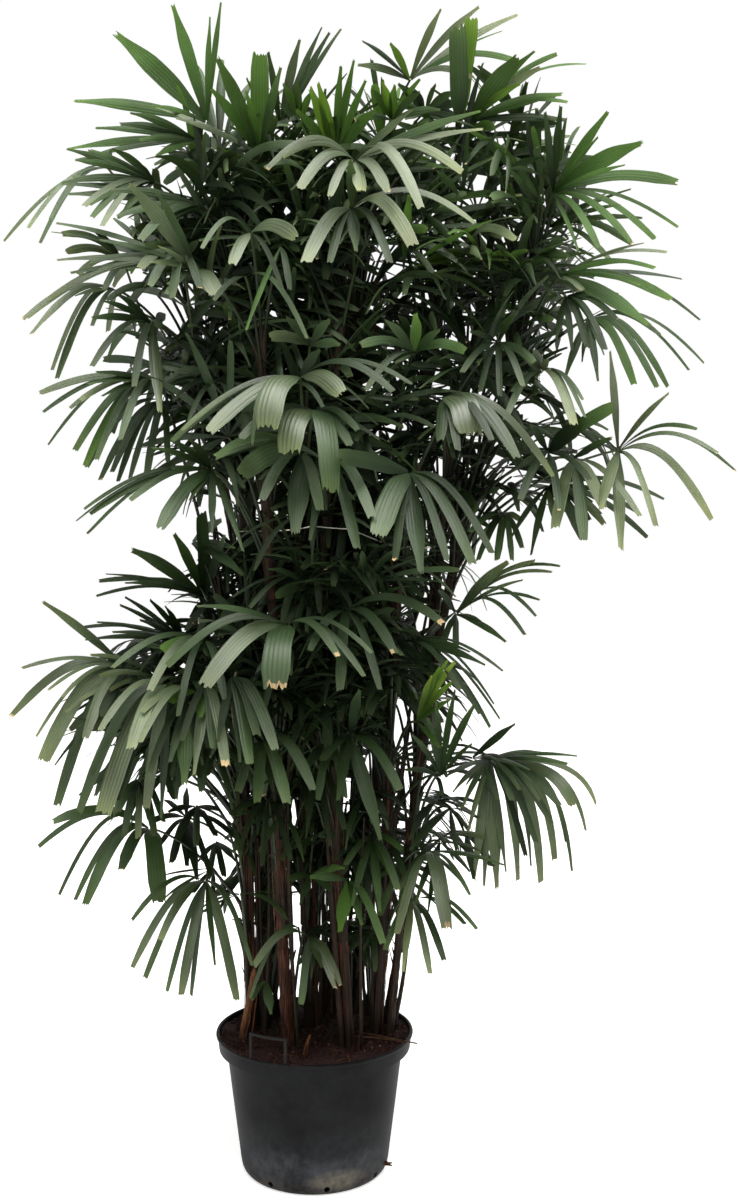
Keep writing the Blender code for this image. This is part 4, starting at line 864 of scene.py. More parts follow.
    ((470, 121, 0.04), [(518, 58, 19, .03, "e"), (535, 51, 9, .06, "g"), (540, 68, 11, .06, "u"), (557, 54, 5, .08), (586, 64, 3, .12), (562, 94, 11, .06, "g"), (568, 102, 4, .08), (566, 120, 8, .04, "d"), (520, 84, 8, .05, "b")], dict(tint="g", cane="cane_right_rear")),
    ((459, 128, 0.00), [(457, 27, 17, .02, "ew"), (472, 19, 14, .02, "bw")], dict(tint="e", cane="cane_mid_rear", wide=19)),
    ((410, 80, 0.12), [(441, 9, 8, .04, "u"), (479, 7, 8, .06, "u"), (517, 15, 8, .06, "u"), (390, 43, 8, .03, "b"), (362, 41, 5, .05, "d"), (358, 65, 8, .05, "p"), (473, 78, 6, .08, "p"), (519, 62, 7, .12, "g"), (502, 31, 2, .06)], dict(tint="g", cane="cane_rear_mid")),
    ((425, 112, 0.12), [(398, 84, 9, .03, "e"), (414, 90, 8, .04, "d"), (455, 92, 9, .05, "e"), (470, 104, 8, .06, "d"), (405, 119, 9, .06, "p"), (444, 120, 9, .06, "d"), (392, 104, 8, .05, "g"), (460, 118, 8, .06, "d"), (436, 84, 6, .04, "e")], dict(tint="e", cane="cane_rear_mid")),
    ((300, 120, 0.14), [(283, 84, 9, .04, "g"), (296, 82, 8, .04, "e"), (312, 92, 8, .04, "g"), (322, 112, 8, .05, "d"), (280, 106, 9, .05, "e"), (288, 118, 8, .06, "d")], dict(tint="e", cane="cane_left_rear")),
    ((505, 512, 0.05), [(483, 548, 7, .08, "d"), (497, 560, 8, .08), (512, 560, 7, .10), (522, 548, 6, .10, "d"), (470, 532, 6, .08), (520, 520, 6, .08, "p"), (488, 520, 5, .04), (478, 560, 5, .08, "d")], dict(tint="m", cane="cane_far_right")),
    ((140, 778, -0.04), [(124, 836, 8, .10, "d"), (138, 838, 7, .08, "p"), (155, 836, 8, .08, "d"), (118, 812, 8, .12), (164, 822, 7, .10, "d"), (130, 815, 7, .08, "d"), (148, 820, 7, .06)], dict(tint="m", cane="cane_left_outer", rise=0.1)),
    ((392, 120, 0.04), [(382, 82, 9, .03, "b"), (395, 85, 9, .03, "g"), (372, 90, 9, .04, "g"), (420, 92, 8, .05), (440, 110, 8, .06), (355, 120, 8, .08)], dict(tint="e")),
    ((355, 160, -0.24), [(267, 169, 5, .16, "p"), (283, 157, 5, .10, "p"), (300, 188, 10, .14, "p"), (361, 190, 12, .08, "u"), (388, 192, 10, .12, "p"), (421, 208, 10, .20, "p"), (462, 172, 8, .14, "u"), (483, 129, 6, .05, "u"), (481, 111, 8, .04, "g"), (412, 110, 7, .02, "p"), (330, 196, 8, .12, "p")], dict(tint="p", cane="cane_mid_rear")),
    ((352, 208, -0.20), [(306, 262, 13, .10, "p"), (356, 251, 12, .06), (413, 245, 13, .16, "u"), (475, 223, 6, .16, "p"), (350, 160, 10, .03), (330, 262, 8, .10, "d"), (390, 262, 8, .12, "d")], dict(tint="m", cane="cane_mid_rear")),
    ((250, 232, -0.26), [(202, 248, 4, .20), (232, 264, 11, .10, "p"), (296, 238, 13, .10, "p"), (282, 288, 5, .10, "k")], dict(tint="m", cane="cane_left_front", length=0.18)),
    ((303, 452, -0.30), [(295, 533, 19, .05, "d"), (242, 474, 18, .08, "m"), (217, 456, 6, .12), (262, 500, 10, .12, "m"), (320, 510, 10, .08, "m")], dict(tint="e", cane="cane_mid_left")),
    ((415, 352, -0.28), [(361, 345, 8, .08), (366, 390, 6, .12, "d"), (465, 351, 9, .08, "e"), (415, 314, 11, .03, "g"), (395, 363, 7, .05), (440, 330, 8, .04, "m"), (385, 320, 8, .04)], dict(tint="m", cane="cane_mid_front", length=0.18)),
    ((182, 250, -0.10), [(140, 268, 9, .10, "p"), (150, 286, 9, .10, "m"), (172, 298, 9, .08, "m"), (200, 288, 8, .08, "d"), (146, 246, 7, .08, "m"), (160, 232, 7, .05, "m")], dict(tint="m", cane="cane_left_outer", rise=0.1)),
    ((124, 262, 0.04), [(62, 234, 7, .08, "p"), (66, 252, 8, .08, "p"), (78, 274, 7, .10, "q"), (90, 228, 6, .06, "m"), (104, 290, 7, .10, "m")], dict(tint="m", cane="cane_left_outer", rise=0.1)),
    ((466, 832, 0.08), [(474, 880, 9, .06, "d"), (492, 866, 8, .08, "d"), (486, 848, 6, .06)], dict(tint="d", cane="cane_right_lean", rise=0.1)),
    ((498, 342, -0.08), [(462, 372, 6, .08, "d"), (480, 392, 6, .10, "k"), (500, 396, 7, .10, "d"), (523, 386, 7, .10, "m"), (534, 362, 8, .08, "m"), (470, 332, 6, .05, "d"), (514, 314, 6, .03, "e")], dict(tint="m", cane="cane_right_front", rise=0.1)),
    ((196, 806, 0.10), [(168, 812, 6, .06, "k"), (178, 838, 8, .08, "k"), (196, 846, 8, .08, "d"), (216, 836, 6, .08, "k"), (222, 812, 5, .06, "d")], dict(tint="k", cane="cane_rear_left")),
    ((216, 842, 0.12), [(198, 862, 6, .06, "k"), (208, 880, 7, .08, "d"), (224, 876, 7, .08, "k"), (236, 862, 6, .06, "d")], dict(tint="k", cane="cane_rear_left")),
]
for k, (hub, tips, opt) in enumerate(HEROES):
    drawn_frond(hub, tips, rng_seed=k, **opt)

FRONT[FRONT > 8] = -9.0
# ---------------------------------------------- thin stems and stubs of the clump
CLUMP = Bunch("clump_stems", [BARK_DARK, SHEATH, BARK, LEAF_MATS[TINT_AT["s"]], CHIP_MAT], "cane")
rng = np.random.default_rng(55)
# narrow gaps of light between the canes: (u, v, half width, half height)
SLITS = [(298, 930, 2, 26), (318, 905, 2, 18), (356, 966, 3, 10), (372, 930, 2, 20), (392, 945, 4, 20), (344, 795, 3, 16), (372, 770, 3, 16), (400, 720, 4, 18)]
for k in range(98):
    n, p, t, r = ATTACH[int(rng.integers(len(ATTACH)))]
    ang, off = rng.uniform(0, 6.28), rng.uniform(0.012, 0.042)
    shift = np.array((math.cos(ang) * off, math.sin(ang) * off, 0))
    top = rng.uniform(0.30, 0.95) if k % 3 else rng.uniform(0.08, 0.3)
    last = max(8, int(len(p) * top))
    foot = p[0] + shift * 0.9
    if math.hypot(foot[0], foot[1]) > 0.180:
        shift = -shift
        foot = p[0] + shift * 0.9
    foot[2] = SOIL_TOP - 0.006
    end = p[min(last, len(p) - 1)] + shift * rng.uniform(0.5, 2.2)
    mid = p[last // 2] + shift * rng.uniform(0.8, 1.8)
    ctrl = mid * 2 - (foot + end) / 2
    line = np.array([(1 - x) ** 2 * foot + 2 * x * (1 - x) * ctrl + x * x * end for x in np.linspace(0.03, 0.97, 24)])
    u, v = drawn(line)
    if any((((u - wu) / (ru + 2)) ** 2 + ((v - wv) / rv) ** 2 < 1).any() for wu, wv, ru, rv in SLITS):
        rng.uniform(0, 1, 3)
        continue
    stalk(CLUMP, (foot, ctrl, end), rng.uniform(0.0035, 0.0062), rng.uniform(0.0018, 0.0030), int(rng.choice([0, 0, 1, 2, 1])), 7, 26)
for n, p, t, r in ATTACH:
    for k in range(16):                       # stubs of old sheaths, some fibres standing off
        i = int(rng.uniform(0.01, 0.75) * len(p))
        a = rng.uniform(0, 6.28)
        out = np.array((math.cos(a), math.sin(a), 0))
        base = p[i] + out * r[i] * 0.75
        ln = rng.uniform(0.018, 0.055)
        tip = base + UP * ln + out * ln * rng.uniform(0.08, 0.45)
        side = np.cross(out, UP)
        w = r[i] * rng.uniform(0.5, 1.3)
        s_, q_, t_ = leaf_curve(base, (base + tip) / 2 + out * 0.003, tip, 4)
        c_ = np.linspace(-1, 1, 5)
        f_ = (1 - s_[:, 0]) ** 0.7 * w / 2
        bend = -out * 0.5
        v_ = q_[:, None] + side[None, None] * (c_[None, :] * f_[:, None])[..., None] + bend[None, None] * ((c_[None, :] ** 2) * f_[:, None])[..., None]
        qd, uvs = grid_quads(4, 4)
        CLUMP.add(v_.reshape(-1, 3), qd, uvs, int(rng.choice([0, 1, 2])))
for n, p, t, r in ATTACH:                    # pale fibres lying along the sheaths
    for k in range(5):
        i = int(rng.uniform(0.0, 0.35) * len(p))
        j = min(len(p) - 1, i + int(rng.uniform(0.08, 0.22) * len(p)))
        a = rng.uniform(math.pi, 2 * math.pi)
        out = np.array((math.cos(a), math.sin(a), 0)) * r[i] * rng.uniform(1.03, 1.25)
        stalk(CLUMP, (p[i] + out, p[(i + j) // 2] + out * rng.uniform(0.9, 1.5), p[j] + out), rng.uniform(0.0007, 0.0014), 0.0006, 4, 5, 14)
CLUMP.make()

twine = Bunch("support_twine", [leaf_material("twine_pale", (0.42, 0.42, 0.36), 0.6, 0.0, 0.2)], "cane")
loop = [spot(*a) for a in ((246, 531, -0.04), (290, 530, -0.17), (312, 526, -0.175), (350, 529, -0.16), (390, 545, -0.13), (432, 548, 0.00), (446, 540, 0.17), (400, 530, 0.32), (330, 528, 0.33), (262, 530, 0.28), (236, 531, 0.12))]
n_l = len(loop)
for k in range(n_l):
    a, b = loop[k], loop[(k + 1) % n_l]
    stalk(twine, (a, (a + b) / 2 - UP * 0.002, b), 0.0013, 0.0013, 0, 6, 5)
twine.make()

# -------------------------------------------------------- the rest of the crown
# outline of the whole crown on the drawing: v, left u, right u
OUTLINE = [
    (60, 200, 500), (75, 175, 540), (100, 165, 556), (125, 165, 575), (150, 140, 590), (200, 120, 600), (225, 112, 600), (300, 112, 600),
    (330, 112, 580), (350, 108, 560), (400, 112, 560), (425, 118, 600), (450, 110, 625), (475, 128, 620), (500, 165, 610), (525, 190, 590), (545, 200, 540),
    (575, 165, 520), (600, 165, 505), (625, 110, 480), (650, 95, 470), (675, 75, 465), (700, 60, 470), (750, 60, 490), (780, 62, 520),
    (830, 82, 560), (850, 100, 555), (875, 95, 525), (900, 105, 455), (925, 155, 448), (950, 158, 445), (975, 170, 425), (990, 228, 395),
]
OUT_V = np.array([o[0] for o in OUTLINE], float)
OUT_L = np.array([o[1] for o in OUTLINE], float)
OUT_R = np.array([o[2] for o in OUTLINE], float)
# places where the light shows through, (u, v, half width, half height)
WINDOWS = [
    (344, 795, 4, 16), (372, 770, 4, 16), (400, 720, 5, 20), (418, 790, 7, 22), (356, 966, 4, 10), (392, 945, 5, 22), (323, 948, 3, 10), (298, 812, 4, 12),
    (540, 650, 40, 60), (458, 786, 10, 8), (480, 182, 7, 5), (455, 160, 3, 5), (530, 412, 2, 3), (547, 418, 3, 3), (466, 205, 3, 4), (374, 262, 5, 8), (390, 250, 4, 5), (366, 277, 4, 4), (398, 268, 3, 4),
    (498, 456, 4, 4), (488, 472, 4, 4), (511, 470, 4, 4), (484, 447, 3, 3), (505, 128, 3, 3), (500, 141, 1, 1), (186, 176, 4, 3), (172, 190, 4, 3), (165, 172, 3, 3), (192, 190, 3, 3),
    (88, 742, 8, 6), (100, 760, 6, 5), (75, 770, 8, 5), (216, 505, 5, 6), (233, 530, 4, 8), (205, 545, 5, 6), (182, 290, 7, 4), (165, 306, 5, 4), (172, 330, 4, 4), (298, 930, 3, 26), (318, 905, 3, 18), (216, 822, 12, 12), (170, 846, 7, 8), (226, 862, 7, 8),
    (160, 802, 6, 6), (215, 785, 8, 5), (185, 905, 9, 8), (240, 905, 6, 10), (560, 600, 60, 30), (500, 690, 16, 18), (110, 625, 30, 14), (90, 560, 30, 30), (120, 940, 30, 20), (480, 935, 30, 20),
    (250, 955, 5, 12), (290, 970, 4, 12), (600, 700, 60, 50), (455, 640, 8, 20), (577, 378, 24, 25), (640, 405, 50, 22),
    (148, 300, 9, 6), (176, 316, 6, 9), (150, 350, 8, 6), (130, 345, 7, 8), (120, 320, 8, 6), (140, 270, 6, 5), (110, 265, 8, 5), (120, 235, 5, 4), (140, 175, 7, 4), (150, 150, 8, 4),
    (478, 200, 2, 3), (420, 238, 2, 2), (470, 332, 3, 5), (496, 348, 3, 4), (485, 400, 3, 4),
    (515, 395, 4, 5), (540, 440, 7, 6), (354, 299, 4, 5), (303, 298, 1, 2), (272, 315, 1, 3), (128, 440, 6, 5), (585, 300, 6, 5), (610, 280, 5, 5),
    (330, 470, 3, 5), (390, 430, 3, 4), (440, 470, 4, 6), (420, 620, 4, 8), (396, 600, 4, 6), (180, 610, 8, 5), (284, 210, 3, 4), (170, 480, 6, 5), (205, 500, 5, 4), (240, 470, 3, 5),
    (190, 810, 14, 20), (205, 850, 8, 14), (560, 470, 6, 4), (590, 455, 8, 4), (505, 500, 6, 6), (520, 540, 7, 5), (472, 430, 5, 5),
]


def inside_outline(u, v, margin):
    left = np.interp(v, OUT_V, OUT_L)
    right = np.interp(v, OUT_V, OUT_R)
    return (u > left + margin) & (u < right - margin) & (v > OUT_V[0] + margin) & (v < 990)


def allowed(p, margin=6.0):
    """True if a leaflet along p stays in the crown, behind the drawn fronds and clear of the windows."""
    if (p[:, 1] < LO[1] + 0.012).any() or (p[:, 1] > HI[1] - 0.012).any() or (p[:, 0] < LO[0] + 0.02).any() or (p[:, 0] > HI[0] - 0.02).any():
        return False
    u, v = drawn(p)
    if not inside_outline(u, v, margin).all():
        return False
    for wu, wv, ru, rv in WINDOWS:
        if (((u - wu) / (ru + 4)) ** 2 + ((v - wv) / (rv + 4)) ** 2 < 1).any():
            return False
    iu = np.clip((u / CELL).astype(int), 0, FRONT.shape[1] - 1)
    iv = np.clip((v / CELL).astype(int), 0, FRONT.shape[0] - 1)
    return not (p[:, 1] < FRONT[iv, iu] + 0.004).any()


def grown_frond(hub, heading, lift, rng, tint, size=1.0, lobes=8, spread=105.0, droop=0.35, margin=6.0, roll=0.0):
    """A frond at the end of a stalk: heading is the compass angle, lift its slope."""
    p = np.array((math.cos(heading) * math.cos(lift), math.sin(heading) * math.cos(lift), math.sin(lift)))
    n = unit(UP - p * p[2])
    if abs(p[2]) > 0.97:
        n = unit(np.array((-p[0], -p[1], 0.2)))
    x = np.cross(n, p)
    n, x = n * math.cos(roll) + x * math.sin(roll), x * math.cos(roll) - n * math.sin(roll)
    made = 0
    for k in range(lobes):
        a = math.radians(-spread + 2 * spread * (k + 0.5) / lobes + rng.uniform(-6, 6))
        d = p * math.cos(a) + x * math.sin(a)
        ln = size * (0.285 - 0.07 * (abs(a) / math.radians(spread)) ** 2) * rng.uniform(0.85, 1.1)
        sag = droop * rng.uniform(0.6, 1.5)
        end = hub + unit(d - UP * sag) * ln * 0.93
        ctrl = hub + d * ln * 0.55 + n * ln * (0.04 + 0.12 * sag)
        w = rng.uniform(0.013, 0.025) * size ** 0.5
        side = np.cross(n, d)
        ease = margin + rng.uniform(-20, 14)
        for shrink in (1.0, 0.8, 0.62):
            e = hub + (end - hub) * shrink
            c = hub + (ctrl - hub) * shrink
            _, path, _ = leaf_curve(hub, c, e, 6)
            if allowed(path[1:], ease):
                # a fifth of the leaflets take a plain green or a painted-shade green
                t = tint if rng.random() > 0.2 else rng.choice(list("kdm"))
                leaflet(LEAVES, hub + unit(d) * 0.004, c, e, w, side, t, rng, rows=9, cols=4, blunt=rng.uniform(0.15, 0.6),
                        tan=0.014 if rng.random() < 0.05 else 0.0, fold=rng.uniform(0.02, 0.2), twist=rng.uniform(-0.4, 0.4))
                made += 1
                break
    return made


# foliage masses: centre (u, v, y), half sizes, fronds, tints dealt out by spray; the core and clump masses deep in the
# crown take mostly the painted-shade tints k and d
FILL = [
    ("mass_top_left", (256, 220, 0.130), (0.200, 0.200, 0.230), 60, "dmmgk"),
    ("mass_top_middle", (372, 240, 0.150), (0.150, 0.200, 0.260), 50, "dmmgk"),
    ("mass_top_right", (510, 230, 0.130), (0.190, 0.200, 0.260), 60, "dmmgp"),
    ("mass_left", (160, 310, 0.120), (0.150, 0.180, 0.200), 36, "dmp"),
    ("mass_middle_left", (250, 420, 0.040), (0.170, 0.200, 0.220), 50, "kkd"),
    ("mass_middle", (348, 480, 0.046), (0.160, 0.180, 0.250), 52, "kkd"),
    ("mass_middle_right", (462, 420, 0.120), (0.180, 0.200, 0.230), 60, "kdm"),
    ("mass_right", (580, 390, 0.090), (0.130, 0.170, 0.180), 30, "kdm"),
    ("mass_low_left", (200, 690, 0.050), (0.200, 0.200, 0.180), 60, "kkdm"),
    ("mass_low_right", (366, 660, 0.100), (0.160, 0.170, 0.170), 44, "kkd"),
    ("core_front", (325, 655, -0.130), (0.170, 0.110, 0.230), 46, "kkkd"),
    ("core_rear", (335, 640, 0.240), (0.220, 0.130, 0.330), 70, "kkd"),
    ("core_foot", (318, 830, 0.170), (0.170, 0.110, 0.180), 36, "kkd"),
    ("gap_left", (245, 572, 0.090), (0.120, 0.130, 0.110), 26, "kkd"),
    ("clump_middle", (320, 800, 0.060), (0.170, 0.150, 0.190), 60, "kdmm"),
    ("clump_left", (245, 850, 0.060), (0.090, 0.150, 0.150), 12, "kdm"),
    ("clump_right", (415, 800, 0.050), (0.070, 0.130, 0.150), 14, "kd"),
    ("clump_foot", (330, 930, 0.060), (0.150, 0.130, 0.070), 22, "dme"),
    ("core_top", (302, 312, 0.150), (0.130, 0.170, 0.220), 52, "kdd"),
]
total = 0
for k, (name, centre, half, count, tints) in enumerate(FILL):
    rng = np.random.default_rng(70 + k)
    c = spot(*centre)
    for i in range(count):
        while True:
            o = rng.uniform(-1, 1, 3)
            if np.linalg.norm(o) < 1:
                break
        hub = c + o * np.array(half)
        u, v = drawn(hub)
        if not bool(inside_outline(u, v, 14)):
            continue
        best = nearest_cane(hub, 0.22)
        out = hub - best[2]
        heading = math.atan2(out[1], out[0]) + rng.normal(0, 0.7)
        high = np.clip((hub[2] - 1.5) / 0.9, -0.6, 1.0)
        lift = math.radians(16 + 30 * high + rng.uniform(-30, 34))
        small = 0.45 if name == "clump_foot" else 0.62 if name.startswith("clump") else 0.8 if name == "gap_left" or name.startswith("core") else 1.0
        got = grown_frond(hub, heading, lift, rng, tints[int(rng.integers(len(tints)))], size=rng.uniform(0.85, 1.08) * small,
                          lobes=int(rng.integers(7, 11)), droop=rng.uniform(0.05, 0.45), roll=rng.normal(0, 0.5))
        if got >= 2:
            grow_stalk(hub, None, 0.22)
            total += 1

# fronds of the sides and the back, on their own stalks, as the solids there; their tints go round plain, painted-shade
# and painted-sunlit greens
BACK = [
    (380, 150, 0.40, 90, 26, 1.0), (300, 200, 0.42, 110, 20, 1.0), (450, 200, 0.42, 70, 20, 1.0), (210, 240, 0.40, 125, 14, 1.0),
    (530, 250, 0.40, 55, 14, 1.0), (178, 350, 0.42, 120, 8, 1.0), (260, 320, 0.44, 100, 10, 1.0), (345, 300, 0.46, 90, 12, 1.0),
    (430, 320, 0.44, 80, 10, 1.0), (530, 350, 0.42, 60, 8, 1.0), (220, 450, 0.42, 115, 4, 1.0), (300, 430, 0.46, 95, 4, 1.0),
    (380, 440, 0.46, 85, 4, 1.0), (470, 440, 0.44, 70, 4, 1.0), (560, 430, 0.34, 45, 4, 0.9), (345, 520, 0.46, 90, 0, 1.0),
    (280, 560, 0.44, 105, 0, 1.0), (420, 560, 0.40, 70, 0, 0.9), (240, 660, 0.40, 120, 0, 1.0), (300, 700, 0.42, 100, 0, 1.0),
    (200, 740, 0.34, 140, 0, 0.9), (370, 680, 0.38, 80, 0, 0.9), (250, 820, 0.34, 115, -4, 0.8), (330, 620, 0.46, 88, 0, 1.0),
    (400, 800, 0.30, 70, 0, 0.75), (150, 640, 0.26, 150, 0, 0.9),
]
for k, (u, v, y, head, lift, size) in enumerate(BACK):
    rng = np.random.default_rng(300 + k)
    hub = spot(u, v, y)
    grown_frond(hub, math.radians(head), math.radians(lift), rng, "dmmgk"[k % 5], size=size * 0.95, lobes=9, droop=rng.uniform(0.35, 0.7))
    grow_stalk(hub, None, 0.24)

stalk(STALKS, (spot(236, 672, -0.31), spot(229, 700, -0.32), spot(235, 732, -0.31)), 0.0030, 0.0014, 3, 6, 8)
LEAVES.make()
STALKS.make()
print("FRONDS", total, "LEAF PIECES", [len(o.data.polygons) * 2 for o in LEAVES.made], "STALKS", [len(o.data.polygons) * 2 for o in STALKS.made])

fronds = [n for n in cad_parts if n.startswith("frond_")]
masses = [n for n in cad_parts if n.startswith("mass_")]
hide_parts(*fronds, *masses)


# ------------------------------------------------------------------------ pot
def lathe(name, profile, sides, mat):
    ang = np.linspace(0, 2 * math.pi, sides, endpoint=False)
    pr = np.array(profile)
    ring = np.stack((np.cos(ang), np.sin(ang), np.zeros(sides)), 1)
    v = ring[:, None, :] * pr[None, :, :1] + np.stack((np.zeros_like(pr[:, 1]), np.zeros_like(pr[:, 1]), pr[:, 1]), 1)[None]
    n = len(pr)
    bm = bmesh.new()
    vs = [[bm.verts.new(v[i, j]) for j in range(n)] for i in range(sides)]
    for i in range(sides):
        k = (i + 1) % sides
        for j in range(n - 1):
            bm.faces.new((vs[i][j], vs[k][j], vs[k][j + 1], vs[i][j + 1]))
    bmesh.ops.remove_doubles(bm, verts=bm.verts, dist=1e-6)
    bmesh.ops.recalc_face_normals(bm, faces=bm.faces)
    me = bpy.data.meshes.new(name)
    bm.to_mesh(me)
    bm.free()
    me.materials.append(mat)
    for p in me.polygons:
        p.use_smooth = True
    ob = bpy.data.objects.new(name, me)
    COLL.objects.link(ob)
    return ob


POT = [
    (0.0, 0.0), (0.150, 0.0), (0.1560, 0.0002), (0.1615, 0.0030), (0.1660, 0.0085), (0.1690, 0.0150), (0.1700, 0.0200),
    (0.1712, 0.0260), (0.1760, 0.0660), (0.1762, 0.0668), (0.1905, 0.1800), (0.2015, 0.2700), (0.2026, 0.2790), (0.2035, 0.2815),
    (0.2045, 0.2822), (0.2190, 0.2822), (0.2203, 0.2828), (0.2208, 0.2845), (0.2232, 0.3060), (0.2240, 0.3110), (0.2262, 0.3125),
    (0.2272, 0.3140), (0.2275, 0.3165), (0.2266, 0.3190), (0.2250, 0.3199), (0.2225, 0.3200), (0.2205, 0.3192), (0.2196, 0.3170),
    (0.2190, 0.3110), (0.2172, 0.2900), (0.2160, 0.2868), (0.2030, 0.2862), (0.2001, 0.2850), (0.1985, 0.2780), (0.1975, 0.2700),
    (0.1720, 0.0660), (0.1655, 0.0200), (0.1600, 0.0080), (0.1500, 0.0040), (0.0, 0.0040),
]
pot = lathe("pot_wall", POT, 128, POT_MAT)
cutters = []
bm = bmesh.new()
for k in range(8):
    a = math.radians((k + 0.25) * 45)
    m = bmesh.ops.create_cone(bm, cap_ends=True, segments=24, radius1=0.0068, radius2=0.0068, depth=0.05)
    out = Vector((math.cos(a), math.sin(a), 0))
    rot = Vector((0, 0, 1)).rotation_difference(out).to_matrix().to_4x4()
    bmesh.ops.transform(bm, verts=m["verts"], matrix=rot)
    bmesh.ops.translate(bm, verts=m["verts"], vec=out * 0.168 + Vector((0, 0, 0.0165)))
me = bpy.data.meshes.new("drain_cut")
bm.to_mesh(me)
bm.free()
cut = bpy.data.objects.new("drain_cut", me)
COLL.objects.link(cut)
mod = pot.modifiers.new("drains", "BOOLEAN")
mod.operation = "DIFFERENCE"
mod.solver = "EXACT"
mod.object = cut
dg = bpy.context.evaluated_depsgraph_get()
new = bpy.data.meshes.new_from_object(pot.evaluated_get(dg))
pot.modifiers.clear()
pot.data = new
bpy.data.objects.remove(cut, do_unlink=True)
for p in pot.data.polygons:
    p.use_smooth = True
es = pot.modifiers.new("edges", "EDGE_SPLIT")
es.split_angle = math.radians(32)
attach(pot, "root")
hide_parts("pot")

# lifting bail: a moulded bar standing on the rim
bail_r, a0, a1, top = 0.2215, -127.0, -104.5, 0.320 + 0.056 - 0.0012
bail_z = [0.3165, top]
bm = bmesh.new()


def bar(deg_a, deg_b, z_a, z_b, thick=0.0036):
    """A moulded strip of the bail between two bearings and two heights."""
    n = max(1, int(abs(deg_b - deg_a) / 2.5))
    rows = []
    for k in range(n + 1):
        a = math.radians(deg_a + (deg_b - deg_a) * k / n)
        c, w = math.cos(a), math.sin(a)
        rows.append([bm.verts.new((r * c, r * w, z)) for r, z in ((bail_r - thick / 2, z_a), (bail_r + thick / 2, z_a), (bail_r + thick / 2, z_b), (bail_r - thick / 2, z_b))])
    for r0, r1 in zip(rows[:-1], rows[1:]):
        for j in range(4):
            bm.faces.new((r0[j], r0[(j + 1) % 4], r1[(j + 1) % 4], r1[j]))
    bm.faces.new(rows[0])
    bm.faces.new(rows[-1][::-1])


bar(a0 - 0.9, a0 + 0.9, bail_z[0], top - 0.006)
bar(a1 - 0.9, a1 + 0.9, bail_z[0], top - 0.006)
bar(a0 - 0.9, a1 + 0.9, top - 0.006, top)
bmesh.ops.recalc_face_normals(bm, faces=bm.faces)
me = bpy.data.meshes.new("pot_bail")
bm.to_mesh(me)
bm.free()
# the bail's plastic is a darker, brown-tinged copy of the pot's black: soil on it, and painted shade where it faces up
# into the light
me.materials.append(soil_material("bail_plastic_soiled_painted_shade", (0.0030, 0.0024, 0.0024), (0.0050, 0.0040, 0.0040), (0.0100, 0.0080, 0.0078)))
bail = bpy.data.objects.new("pot_bail", me)
COLL.objects.link(bail)
bev = bail.modifiers.new("soft", "BEVEL")
bev.width = 0.0007
bev.segments = 2
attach(bail, "root")
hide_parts("pot_handle")

# ----------------------------------------------------------------------- soil
rng = np.random.default_rng(9)
n_r, n_a = 46, 120
R = np.linspace(0.0, 0.2178, n_r + 1)
A = np.linspace(0, 2 * math.pi, n_a + 1)
rr, aa = np.meshgrid(R, A, indexing="ij")
x, y = rr * np.cos(aa), rr * np.sin(aa)
z = SOIL_TOP + 0.004 + 0.0105 * (rr / 0.2178) ** 2.5
for k in range(26):
    kx, ky, ph = rng.normal(0, 55), rng.normal(0, 55), rng.uniform(0, 6.28)
    z = z + 0.0007 * np.sin(kx * x + ky * y + ph)
z[0] = z[0].mean()
lumps = rng.normal(0, 0.0010, z.shape)
lumps[:, -1] = lumps[:, 0]
lumps[0] = 0
z = z + lumps
v = np.stack((x, y, z), -1).reshape(-1, 3)
quads, uv = grid_quads(n_r, n_a)
soil = Bunch("soil_top", [SOIL_MAT], "soil")
soil.add(v, quads, uv, 0)
soil.make()
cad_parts["soil"].data.materials.clear()
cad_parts["soil"].data.materials.append(SOIL_MAT)

crumbs = Bunch("soil_crumbs", [CRUMB_MAT, SOIL_MAT, CHIP_MAT], "soil")
CUBE = np.array([(-1, -1, -1), (1, -1, -1), (1, 1, -1), (-1, 1, -1), (-1, -1, 1), (1, -1, 1), (1, 1, 1), (-1, 1, 1)], float)
CQ = np.array([(0, 3, 2, 1), (4, 5, 6, 7), (0, 1, 5, 4), (1, 2, 6, 5), (2, 3, 7, 6), (3, 0, 4, 7)])
CUV = np.tile(np.array([(0, 0), (1, 0), (1, 1), (0, 1)], float), (6, 1, 1))


def chunk(at, size, rng, mat):
    v = CUBE * size * rng.uniform(0.55, 1.0, 3) * rng.uniform(0.6, 1.0, (8, 1))
    a, b = rng.uniform(0, 6.28, 2)
    ca, sa, cb, sb = math.cos(a), math.sin(a), math.cos(b), math.sin(b)
    rot = np.array(((ca, -sa, 0), (sa, ca, 0), (0, 0, 1))) @ np.array(((1, 0, 0), (0, cb, -sb), (0, sb, cb)))
    crumbs.add(v @ rot.T + at, CQ, CUV, mat)


def soil_z(r):
    return SOIL_TOP + 0.004 + 0.0105 * (r / 0.2178) ** 2.5


for k in range(3400):
    r = 0.216 * math.sqrt(rng.random())
    a = rng.uniform(0, 6.28)
    chunk(np.array((r * math.cos(a), r * math.sin(a), soil_z(r) + 0.0003)), rng.uniform(0.0012, 0.0042), rng, 0 if rng.random() < 0.6 else 1)
for k in range(60):
    r = 0.19 * math.sqrt(rng.random())
    a = rng.uniform(0, 6.28)
    chunk(np.array((r * math.cos(a), r * math.sin(a), soil_z(r) + 0.001)), rng.uniform(0.002, 0.005), rng, 2)
for k in range(120):                       # soil spilt on the rim at the front left
    a = math.radians(rng.uniform(-165, -95))
    r = rng.uniform(0.2165, 0.2262)
    chunk(np.array((r * math.cos(a), r * math.sin(a), 0.3196)), rng.uniform(0.001, 0.0026), rng, 0)
crumbs.make(smooth=False)

